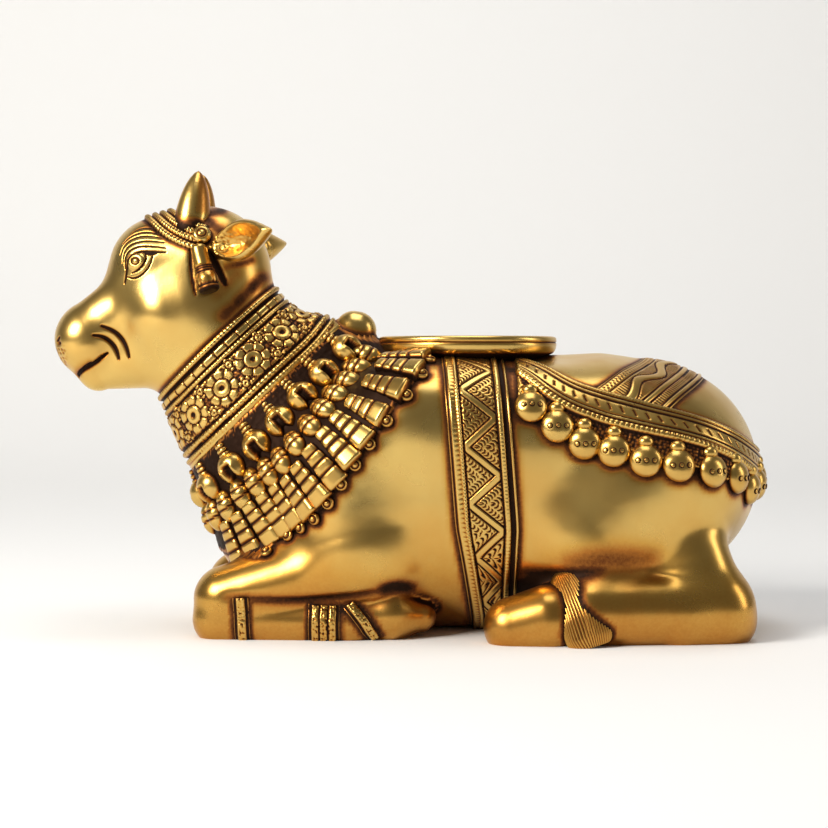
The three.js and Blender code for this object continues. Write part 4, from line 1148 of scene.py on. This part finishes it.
def traced(line, count):
    """Evenly spaced places on the body along a smooth line: the place, the ways outwards and across."""
    stops = curved(settle(np.array(line) * SHARE)[0], rounds=5)
    reach = np.concatenate([[0], np.cumsum(np.linalg.norm(np.diff(stops, axis=0), axis=1))])
    even = np.linspace(0, reach[-1], count)
    spots, outward = settle(np.stack([np.interp(even, reach, axis) for axis in stops.T], 1))
    return spots, outward, unit(np.cross(outward, np.gradient(spots, axis=0)))


STRAP_STRIDE = 3 * MM  # the body is looked up so often along a strap, and in so many rows across it
STRAP_ROWS = 9


def strap_sheet(line, width, cell, extra=0.0):
    """A strip on the body along a line, and some extra width on its left edge."""
    long = line_length(settle(np.array(line) * SHARE)[0])
    spots, _, side = traced(line, int(long / STRAP_STRIDE))
    shifts = np.linspace(-width / 2 - extra, width / 2, STRAP_ROWS)
    coarse = spots[:, None] + side[:, None] * shifts[None, :, None]
    coarse = settle(coarse.reshape(-1, 3))[0].reshape(coarse.shape)
    return refined(coarse, int(long / cell), int((width + extra) / cell) + 1)


BREECHING_WIDTH = 12.5
BREECHING_GROUND = 9  # punched ground below the strap, behind the bells
GIRTH_REAR = (14.1 * SHARE, 14.5 * SHARE)  # it starts behind the girth's rear edge
GIRTH_SINK = 2.2
breeching_line = both_sides(BREECHING_LEFT)
breeching_skin = strap_sheet(breeching_line, BREECHING_WIDTH * MM, 0.41 * MM, BREECHING_GROUND * MM)
breeching = Strap(breeching_skin, ring=False)
breeching.across = breeching.width - breeching.across
breeching.plate(rise=0.3, edge=1.5)
below = step(breeching.across, BREECHING_WIDTH - 0.3, BREECHING_WIDTH + 0.3)
ground_edge = BREECHING_WIDTH + BREECHING_GROUND - 1.5
breeching.punched(low=BREECHING_WIDTH + 0.4, high=ground_edge, size=1.3, rise=0.45)
breeching.grime += 0.55 * below
breeching.height += 0.9 * (1 - below)
breeching.rope(centre=1.0, half=0.8, rise=0.4, pitch=1.2)
breeching.cut(centre=2.1, width=0.5, deep=0.5)
breeching.rail(centre=3.0, half=0.6, rise=0.25)
breeching.cut(centre=3.9, width=0.5, deep=0.5)
breeching.dashes(centre=6.2, length=2.3, width=0.7, deep=0.4, pitch=4.6, slant=-0.85)
breeching.cut(centre=8.5, width=0.5, deep=0.6)
breeching.rail(centre=9.2, half=0.45, rise=0.25)
breeching.cut(centre=9.95, width=0.45, deep=0.5)
breeching.rope(centre=11.3, half=1.15, rise=0.8, pitch=1.75, slant=0.15)
breeching.height -= GIRTH_SINK * (1 - step(breeching.skin[..., 0], *GIRTH_REAR))
breeching.finish("breeching")


RUMP_BELL_RADIUS = 5.8
RUMP_BELL_FLATNESS = 0.66
RUMP_RINGS = (-2.8, 0, 2.8)
RUMP_RING_RADIUS = 1.05
RUMP_RING_DROP = 0.3
RUMP_KNOB_RADIUS = 2.7
RUMP_KNOB_RISE = 6.5 * MM


def rump_bell_shape(p):
    """A flat ball with three shallow dents for the rings."""
    x, y, z = p.T
    top = step(z, 0.5, 2)
    points = p * [1, 1, RUMP_BELL_FLATNESS]
    for at in RUMP_RINGS:
        points[:, 2] -= 0.3 * groove(np.hypot(x - at, y - RUMP_RING_DROP), 2.4) * top
    return points, at_foot(z, -0.4, 1.9) + 0.07


def rump_ring_shape(p):
    """A small dome with a dark line round it."""
    flat = np.hypot(p[:, 0], p[:, 1])
    return p * [1, 1, 0.45], step(flat, 0.5, 0.85)


def knob_shape(p):
    return p * [1.1, 0.9, 1], at_foot(p[:, 2], -0.6, 0.7, 0.9) + 0.08


RUMP_BELLS_LEFT = [(16, -16.4, 31.5), (19.5, -17.8, 29.3), (23.1, -18.4, 27.1), (26.9, -18.5, 26.1),
                   (31.1, -18.4, 24.7), (35.2, -17.6, 23.9), (39.1, -15.8, 23.1), (42.8, -13.2, 22.3),
                   (45.8, -9.4, 20.6), (48.3, -5, 20.8), (49.2, 0, 21.4)]
bell_homes, knob_homes, ring_homes = [], [], []
for place in both_sides(RUMP_BELLS_LEFT):
    at, out = settle([np.array(place) * SHARE])
    down = np.array([0, 0, -1]) + out[0] * out[0][2]
    down = down / np.linalg.norm(down)
    bell_homes.append(home_at(at[0], out[0], down))
    for aside in RUMP_RINGS:
        rise = math.sqrt(RUMP_BELL_RADIUS ** 2 - aside ** 2) * RUMP_BELL_FLATNESS - 0.2
        spot = Matrix.Translation(Vector((aside, RUMP_RING_DROP, rise)) * MM)
        tilt = Matrix.Rotation(aside / RUMP_BELL_RADIUS * 0.7, 4, "Y")
        ring_homes.append(bell_homes[-1] @ spot @ tilt)
    at, out = settle([at[0] - down * RUMP_KNOB_RISE])
    knob_homes.append(home_at(at[0], out[0], down))
cast_on("rump_bells", [ball(RUMP_BELL_RADIUS, 36, 26, rump_bell_shape)], bell_homes)
cast_on("rump_bell_beads", [ball(RUMP_KNOB_RADIUS, 18, 12, knob_shape)], knob_homes)
cast_on("rump_bell_rings", [ball(RUMP_RING_RADIUS, 16, 10, rump_ring_shape)], ring_homes)

# The loin strap
# A flat strap that crosses the rump as a chevron. It stands up a little from the cast body, and dots, a
# running scroll and hatched lines are engraved in it.
LOIN_LEFT = [(27.8, -17.4, 31.8), (30.7, -14.8, 33.9), (33.8, -10.4, 36), (36.4, -5, 37.4), (37.4, 0, 37.6)]
LOIN_WIDTH = 24
SCROLL_MIDDLE, SCROLL_SWING, SCROLL_LENGTH = 9.6, 1.8, 24
SCROLL_HALF = 1.9
loin = Strap(strap_sheet(both_sides(LOIN_LEFT), LOIN_WIDTH * MM, 0.42 * MM), ring=False)
loin.across = loin.width - loin.across
loin.plate(rise=0.5)
loin.cut(centre=0.9, width=0.5, deep=0.5)
for shift, centre in ((0, 2.0), (0.5, 3.3)):
    off = np.hypot(loin.repeat(1.9, shift), loin.across - centre)
    loin.carve(groove(off, 0.8), deep=0.35)
loin.cut(centre=4.5, width=0.6, deep=0.6)
off_scroll = loin.across - SCROLL_MIDDLE - SCROLL_SWING * np.sin(loin.along * 2 * np.pi / SCROLL_LENGTH)
loin.height += 0.3 * dome(off_scroll, SCROLL_HALF + 0.1)
loin.carve(groove(np.abs(off_scroll) - SCROLL_HALF, 0.5), deep=0.5)
in_corner = step(np.abs(off_scroll), SCROLL_HALF + 0.3, SCROLL_HALF + 0.7) * loin.band(low=5.4, high=14)
loin.carve(groove(loin.repeat(1.2), 0.4) * in_corner, deep=0.22)
loin.cut(centre=14.7, width=0.7, deep=0.6)
loin.rail(centre=16, half=0.9, rise=0.2)
loin.cut(centre=17.3, width=0.6, deep=0.5)
loin.dashes(centre=19, length=2.2, width=0.4, deep=0.3, pitch=1.3)
loin.cut(centre=20.8, width=0.6, deep=0.5)
loin.rail(centre=21.8, half=0.7, rise=0.25)
loin.cut(centre=22.8, width=0.7, deep=0.6)
loin.finish("loin_strap")

# The browband
# Four twisted cords across the forehead, below the horns, that end in a boss with a tassel at each ear.
# They are carved in the wax and cast with the head, and the tassels' rings are cut after it.
BROW_LEFT = [(-28.3, -8.2, 55.2), (-30.3, -7.7, 55.6), (-33, -6, 57.1), (-34.9, -3, 58.9), (-35.7, 0, 59.6)]
BROW_WIDTH = 11.4
BROW_CORDS = (1.5, 4.3, 7.1, 9.9)
browband = Strap(strap_sheet(both_sides(BROW_LEFT), BROW_WIDTH * MM, 0.33 * MM), ring=False)
browband.plate(rise=0.5)
for centre in BROW_CORDS:
    browband.rope(centre=centre, half=1.2, rise=1.0, pitch=1.35, slant=0.2)
for before, after in zip(BROW_CORDS, BROW_CORDS[1:]):
    browband.cut(centre=(before + after) / 2, width=0.5, deep=0.5)
browband.finish("browband")

TAG = [(-28.8, 8.9, 53.4), (-27.1, 9, 47)]
BOSS_AT = (-28.4, 8.4, 55.6)
TAG_PROFILE = [(0.2, -0.8), (2.0, -0.7), (2.7, 0), (2.9, 2), (3.0, 5), (3.1, 7.2), (2.7, 7.7), (3.2, 8.1),
               (2.8, 8.6), (3.3, 9), (2.9, 9.6), (3.5, 10.4), (4.1, 12.2), (4.0, 13.8), (3.4, 14.8),
               (3.7, 15.2), (3.7, 16.2), (2.9, 16.8), (0.2, 16.9)]
TAG_RINGS = (7.7, 8.6, 9.6, 14.8)
TAG_FLUTES = 7  # on each half of the bulb
BOSS_RADIUS = 3.4
BOSS_LIFT = 1.2 * MM


def tag_shape(p):
    """The bulb at the foot is fluted, and the rings above it are cut deep."""
    x, y, z = p.T
    angle = np.arctan2(z, x)
    on_bulb = step(y, 9.8, 10.6) * (1 - step(y, 14, 14.8))
    flute = groove(np.sin(angle * TAG_FLUTES), 0.7) * on_bulb
    rings = sum(groove(y - at, 0.7) for at in TAG_RINGS)
    points = p * (1 - 0.1 * flute)[:, None]
    return points, 0.8 * flute + rings + at_foot(z, -1, 1.4, 0.9) + 0.9 * step(y, 15.4, 16.2) + 0.1


def boss_shape(p):
    """A flat button with a ring cut in it."""
    flat = np.hypot(p[:, 0], p[:, 1])
    ring = groove(flat - 1.5, 0.8) * (p[:, 2] > 0)
    points = p * [1, 1, 0.6]
    points[:, 2] -= 0.5 * ring
    return points, ring + at_foot(p[:, 2], -0.8, 1, 0.8)


tag_form = turned(TAG_PROFILE, segments=40)
split_long(tag_form, 1.4 * MM)
tag_homes, boss_homes = [], []
for side in (1, -1):
    top, foot = sided(TAG[0], side), sided(TAG[1], side)
    at, out = settle([top, sided(BOSS_AT, side)])
    tag_homes.append(home_at(top, out[0], foot - top))
    boss_homes.append(home_at(at[1] + out[1] * BOSS_LIFT, out[1], foot - top))
cast_on("ear_tassels", [pattern(tag_form, tag_shape)], tag_homes)
cast_on("browband_bosses", [ball(BOSS_RADIUS, 28, 20, boss_shape)], boss_homes)

# The anklets
# Two upright bands and a slanting one on each fore shank, raised in the casting. Dark lines edge them, and
# their fields are roughened with a punch.
ANKLETS_LEFT = [  # the line down the leg, the width in millimetres, and where more lines are cut along it
    ([(-22.4, -13, 6.3), (-22.5, -14.6, 3.4), (-22.4, -14.2, 1), (-22.4, -12.6, 0)], 6, ()),
    ([(-11.5, -14, 6.3), (-11.5, -15.8, 3), (-11.5, -15.4, 0.8), (-11.5, -14, 0)], 11.5, (4.2, 7.3)),
    ([(-8.2, -13.6, 6.3), (-6.4, -15.6, 3.6), (-4.6, -14.6, 0.6)], 6, ()),
]
for number, (line, width, inner_cuts) in enumerate(ANKLETS_LEFT):
    for side, label in ((1, "left"), (-1, "right")):
        sided_line = [(x, y * side, z) for x, y, z in line]
        anklet = Strap(strap_sheet(sided_line, width * MM, 0.33 * MM), ring=False)
        anklet.plate(rise=0.7)
        for centre in (0.9, width - 0.9):
            anklet.cut(centre=centre, width=1.1, deep=0.8)
        anklet.punched(low=1.7, high=width - 1.7, size=1.1, rise=0.4)
        for centre in inner_cuts:
            anklet.cut(centre=centre, width=0.6, deep=0.6)
        anklet.finish(f"anklet_{label}_{number}")

# The tail tuft
# The tail comes round under the left thigh, and its tuft of combed hair falls over the leg to the ground.
# It is cast on the leg, and its hairs are cut with a graver.
TAIL = [(20.2, -15.8, 9.6), (21, -17.4, 8.3), (21.9, -19.2, 6.3), (22.7, -20.3, 4.2), (23.2, -20.7, 2.2),
        (23.8, -20.9, 0.4)]
TAIL_RADII = [1.3, 2.3, 3.0, 3.3, 3.2, 2.3]
TAIL_THICKNESS = 0.56
TAIL_STEPS = 84
TAIL_SEGMENTS = 240
TAIL_HAIRS = 50
tail = bmesh.new()
bmesh.ops.create_circle(tail, segments=TAIL_SEGMENTS, radius=1)
ends = tail.edges[:]
for _ in range(TAIL_STEPS - 1):
    drawn = bmesh.ops.extrude_edge_only(tail, edges=ends)["geom"]
    ends = [part for part in drawn if isinstance(part, bmesh.types.BMEdge)]
stops = curved(np.array(TAIL) * SHARE, rounds=4)
share = np.linspace(0, 1, TAIL_STEPS)
spine = np.stack([np.interp(share, np.linspace(0, 1, len(stops)), axis) for axis in stops.T], 1)
radius = np.interp(share, np.linspace(0, 1, len(TAIL_RADII)), TAIL_RADII) * SHARE
forward = unit(np.gradient(spine, axis=0))
side = unit(np.cross(forward, [0, 1, 0]))
face = np.cross(side, forward)
angle = np.linspace(0, 2 * np.pi, TAIL_SEGMENTS, endpoint=False)
wave = 1.6 * np.sin(share[:, None] * 3) + 0.35 * np.sin(angle * 5)
comb = np.abs(np.sin(angle * TAIL_HAIRS / 2 + wave)) ** 0.6
strand = step(share, 0.08, 0.25)[:, None]
grow = 1 - 0.12 * strand * (1 - comb) - 0.06 * strand * np.cos(angle * 3 + share[:, None] * 4)
wide = side[:, None] * np.cos(angle)[:, None]
thick = TAIL_THICKNESS * face[:, None] * np.sin(angle)[:, None]
rings = spine[:, None] + (wide + thick) * (radius[:, None] * grow)[..., None]
rings[..., 2] = np.maximum(rings[..., 2], 0)
tail.verts.ensure_lookup_table()
put(tail, rings.reshape(-1, 3))
mark(tail, (0.15 + 0.75 * strand * (1 - comb)).reshape(-1))
close_holes(tail)
cast("tail_tuft", tail)

# The old patina and painted shade
# Dark colour is rubbed into the whole casting and wiped off again. It stays round the foot of every
# ornament, with painted shade there too, and orange painted shade and reflection darken flanks and legs low
# down.
PATINA_AND_SHADE_REACH = (0.2 * MM, 2.6 * MM)
FOOT_HEIGHTS = (-0.3 * MM, 1.5 * MM)
# orange painted shade and reflection low on the figure: full below the first height, gone above the second
LOW_SHADE = (2 * MM, 56 * MM)
LOW_SHADE_SHARE = 0.3
FOOT_PATINA_AND_SHADE = 0.95


def mesh_places(piece):
    points = np.empty(len(piece.data.vertices) * 3, dtype=np.float32)
    piece.data.vertices.foreach_get("co", points)
    return points.reshape(-1, 3).astype(float)


def around_ornaments(piece, ornaments):
    """0 on open skin, and up to 1 beside the foot of an ornament, for its patina and painted shade."""
    feet = np.concatenate([mesh_places(ornament) for ornament in ornaments])
    height = wax_depth(feet)[0]
    feet = feet[(height > FOOT_HEIGHTS[0]) & (height < FOOT_HEIGHTS[1])]
    tree = KDTree(len(feet))
    for i, foot in enumerate(feet):
        tree.insert(foot, i)
    tree.balance()
    gaps = np.array([tree.find(point)[2] for point in mesh_places(piece)])
    return evened(piece, 1 - step(gaps, *PATINA_AND_SHADE_REACH))


def evened(piece, values):
    """Each point takes half of its value from its neighbours, twice over."""
    ends = np.empty(len(piece.data.edges) * 2, dtype=np.int32)
    piece.data.edges.foreach_get("vertices", ends)
    a, b = ends.reshape(-1, 2).T
    count = np.bincount(a, minlength=len(values)) + np.bincount(b, minlength=len(values))
    for _ in range(2):
        around = np.bincount(a, values[b], len(values)) + np.bincount(b, values[a], len(values))
        values = (values + around / np.maximum(count, 1)) / 2
    return values


BARE_PIECES = PIECES[:2]  # the body and the head, which the ornaments stand on
for piece in BARE_PIECES:
    layer = piece.data.attributes["grime"].data
    grime = np.empty(len(layer), dtype=np.float32)
    layer.foreach_get("value", grime)
    # painted shade and warm reflection, darker towards the bottom of the figure
    low = LOW_SHADE_SHARE * (1 - step(mesh_places(piece)[:, 2], *LOW_SHADE))
    # patina and painted shade round the foot of every ornament
    ring = FOOT_PATINA_AND_SHADE * around_ornaments(piece, PIECES[len(BARE_PIECES):])
    grime = np.maximum(grime + low, ring)
    layer.foreach_set("value", grime.astype(np.float32))

# The brass
# One finish over the whole casting. The high parts are polished by hand and wear bright, and a dark
# red-brown antique colour stays in the cuts; with painted shade it also darkens where one form meets the
# next.


class Wire:
    """A value on its way through the shader. Python's own signs add the Math nodes."""

    def __init__(self, tree, socket):
        self.tree = tree
        self.socket = socket

    def math(self, operation, first, second=0.0):
        return node(self.tree, "Math", {"operation": operation}, {0: first, 1: second})

    def __add__(self, other):
        return self.math("ADD", self, other)

    def __radd__(self, other):
        return self.math("ADD", other, self)

    def __sub__(self, other):
        return self.math("SUBTRACT", self, other)

    def __rsub__(self, other):
        return self.math("SUBTRACT", other, self)

    def __mul__(self, other):
        return self.math("MULTIPLY", self, other)

    def __rmul__(self, other):
        return self.math("MULTIPLY", other, self)


def node(tree, kind, settings, inputs, output=0):
    """A node of that type with its settings made first, then the values or links of its sockets."""
    made = tree.nodes.new("ShaderNode" + kind)
    for name, value in settings.items():
        if name == "stops":
            for _ in value[2:]:
                made.color_ramp.elements.new(0.5)
            for element, (position, colour) in zip(made.color_ramp.elements, value):
                element.position = position
                element.color = (*colour, 1)
        else:
            setattr(made, name, value)
    for name, value in inputs.items():
        if isinstance(value, Wire):
            tree.links.new(value.socket, made.inputs[name])
        else:
            made.inputs[name].default_value = value
    return Wire(tree, made.outputs[output])


PATINA_TONES = [  # how much patina and painted shade a place holds, and its colour there, from polished brass to dark cuts
    (0.0, (0.70, 0.48, 0.145)),
    (0.2, (0.61, 0.355, 0.078)),
    (0.4, (0.43, 0.17, 0.032)),
    (0.6, (0.14, 0.045, 0.012)),
    (0.85, (0.022, 0.009, 0.004)),
]
WARMER = (0.97, 0.88, 0.80, 1)
brass = bpy.data.materials.new("brass")
brass.use_nodes = True
tree = brass.node_tree
shader = tree.nodes["Principled BSDF"]
place = node(tree, "TexCoord", {}, {}, "Object")
grime = node(tree, "Attribute", {"attribute_name": "grime"}, {}, "Fac")
specks = node(tree, "TexNoise", {}, {"Vector": place, "Scale": 900, "Detail": 4, "Roughness": 0.65})
clouds = node(tree, "TexNoise", {}, {"Vector": place, "Scale": 38, "Detail": 4, "Roughness": 0.55})
held = grime * (0.75 + 0.5 * specks) + (clouds - 0.5) * 0.14
tone = node(tree, "ValToRGB", {"stops": PATINA_TONES}, {"Fac": held})
warmth = node(tree, "MapRange", {}, {"Value": clouds, "From Min": 0.35, "From Max": 0.7})
colour = node(tree, "Mix", {"data_type": "RGBA", "blend_type": "MULTIPLY"},
              {"Factor": warmth, "A": tone, "B": WARMER}, 2)
dull = node(tree, "MapRange", {}, {"Value": held, "From Min": 0.25, "From Max": 0.8})
strokes_at = node(tree, "Mapping", {}, {"Vector": place, "Scale": (1, 1, 0.07)})
strokes = node(tree, "TexNoise", {}, {"Vector": strokes_at, "Scale": 1500, "Detail": 3, "Roughness": 0.6})
waves = node(tree, "TexNoise", {}, {"Vector": place, "Scale": 75, "Detail": 1.5, "Roughness": 0.4})
grain = node(tree, "Bump", {}, {"Strength": 0.12, "Distance": 0.00012, "Height": strokes})
skin_bump = node(tree, "Bump", {}, {"Strength": 0.55, "Distance": 0.0007, "Height": waves, "Normal": grain})
tree.links.new(colour.socket, shader.inputs["Base Color"])
tree.links.new((1 - 0.3 * dull).socket, shader.inputs["Metallic"])
shader.inputs["Specular IOR Level"].default_value = 0.2
tree.links.new((0.24 + 0.08 * clouds + 0.3 * dull).socket, shader.inputs["Roughness"])
tree.links.new(skin_bump.socket, shader.inputs["Normal"])

for piece in PIECES:
    piece.data.materials.append(brass)
    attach(piece, "root")
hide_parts("nandi_bull")

# The studio
# A pale sweep of paper lies under the figure and rises behind it. A big soft light stands over the left
# shoulder of the camera, and weaker ones above the figure and on its right.
SWEEP = [(-0.9, 0), (0.55, 0), (0.72, 0.03), (0.82, 0.13), (0.86, 0.3), (0.86, 1.5)]
SWEEP_WIDTH = 3.2
sweep = bmesh.new()
line = [sweep.verts.new((-SWEEP_WIDTH / 2, y, z)) for y, z in SWEEP]
edges = [sweep.edges.new(pair) for pair in zip(line, line[1:])]
drawn = bmesh.ops.extrude_edge_only(sweep, edges=edges)["geom"]
drawn = [part for part in drawn if isinstance(part, bmesh.types.BMVert)]
bmesh.ops.translate(sweep, vec=(SWEEP_WIDTH, 0, 0), verts=drawn)
bmesh.ops.recalc_face_normals(sweep, faces=sweep.faces)
paper_sweep = mesh_object("paper_sweep", sweep)
bend = paper_sweep.modifiers.new("bend", "SUBSURF")
bend.levels = bend.render_levels = 3
paper_sweep.data.shade_smooth()
paper = bpy.data.materials.new("paper")
paper.use_nodes = True
paper_shader = paper.node_tree.nodes["Principled BSDF"]
paper_shader.inputs["Base Color"].default_value = (0.9, 0.9, 0.89, 1)
paper_shader.inputs["Roughness"].default_value = 0.9
paper_sweep.data.materials.append(paper)

MIDDLE = Vector((0.0015, 0, 0.0792))
SOFT_LIGHTS = [  # where it stands, width and height in metres, power in watts, colour
    ((-0.85, -0.7, 0.7), (0.5, 0.5), 17.5, (1, 0.96, 0.9)),
    ((0.05, 0.0, 1.1), (0.8, 0.5), 4.4, (0.94, 0.96, 1)),
    ((1.1, -0.15, 0.45), (0.25, 0.8), 2.5, (1, 0.95, 0.9)),
]
for number, (spot, (wide, high), power, tint) in enumerate(SOFT_LIGHTS):
    lamp = bpy.data.lights.new(f"soft_light_{number}", "AREA")
    lamp.shape = "RECTANGLE"
    lamp.size, lamp.size_y = wide, high
    lamp.energy = power
    lamp.color = tint
    light = bpy.data.objects.new(lamp.name, lamp)
    light.location = spot
    light.rotation_euler = (MIDDLE - light.location).to_track_quat("-Z", "Y").to_euler()
    bpy.context.scene.collection.objects.link(light)

world = bpy.data.worlds.new("studio")
world.use_nodes = True
background = world.node_tree.nodes["Background"]
background.inputs["Color"].default_value = (0.95, 0.93, 0.9, 1)
background.inputs["Strength"].default_value = 0.16
bpy.context.scene.world = world
bpy.context.scene.view_settings.view_transform = "Standard"

CAMERA_DISTANCE = 0.74
CAMERA_TILT = math.radians(1.5)
SEEN_WIDTH = 0.3032  # how much of the figure's middle plane the picture takes in
camera = bpy.data.objects.new("camera", bpy.data.cameras.new("camera"))
camera.data.sensor_width = 36
camera.data.lens = camera.data.sensor_width * CAMERA_DISTANCE / SEEN_WIDTH
camera.data.clip_start = 0.01
camera.location = MIDDLE + Vector((0, -math.cos(CAMERA_TILT), math.sin(CAMERA_TILT))) * CAMERA_DISTANCE
camera.rotation_euler = (MIDDLE - camera.location).to_track_quat("-Z", "Y").to_euler()
bpy.context.scene.collection.objects.link(camera)
bpy.context.scene.camera = camera
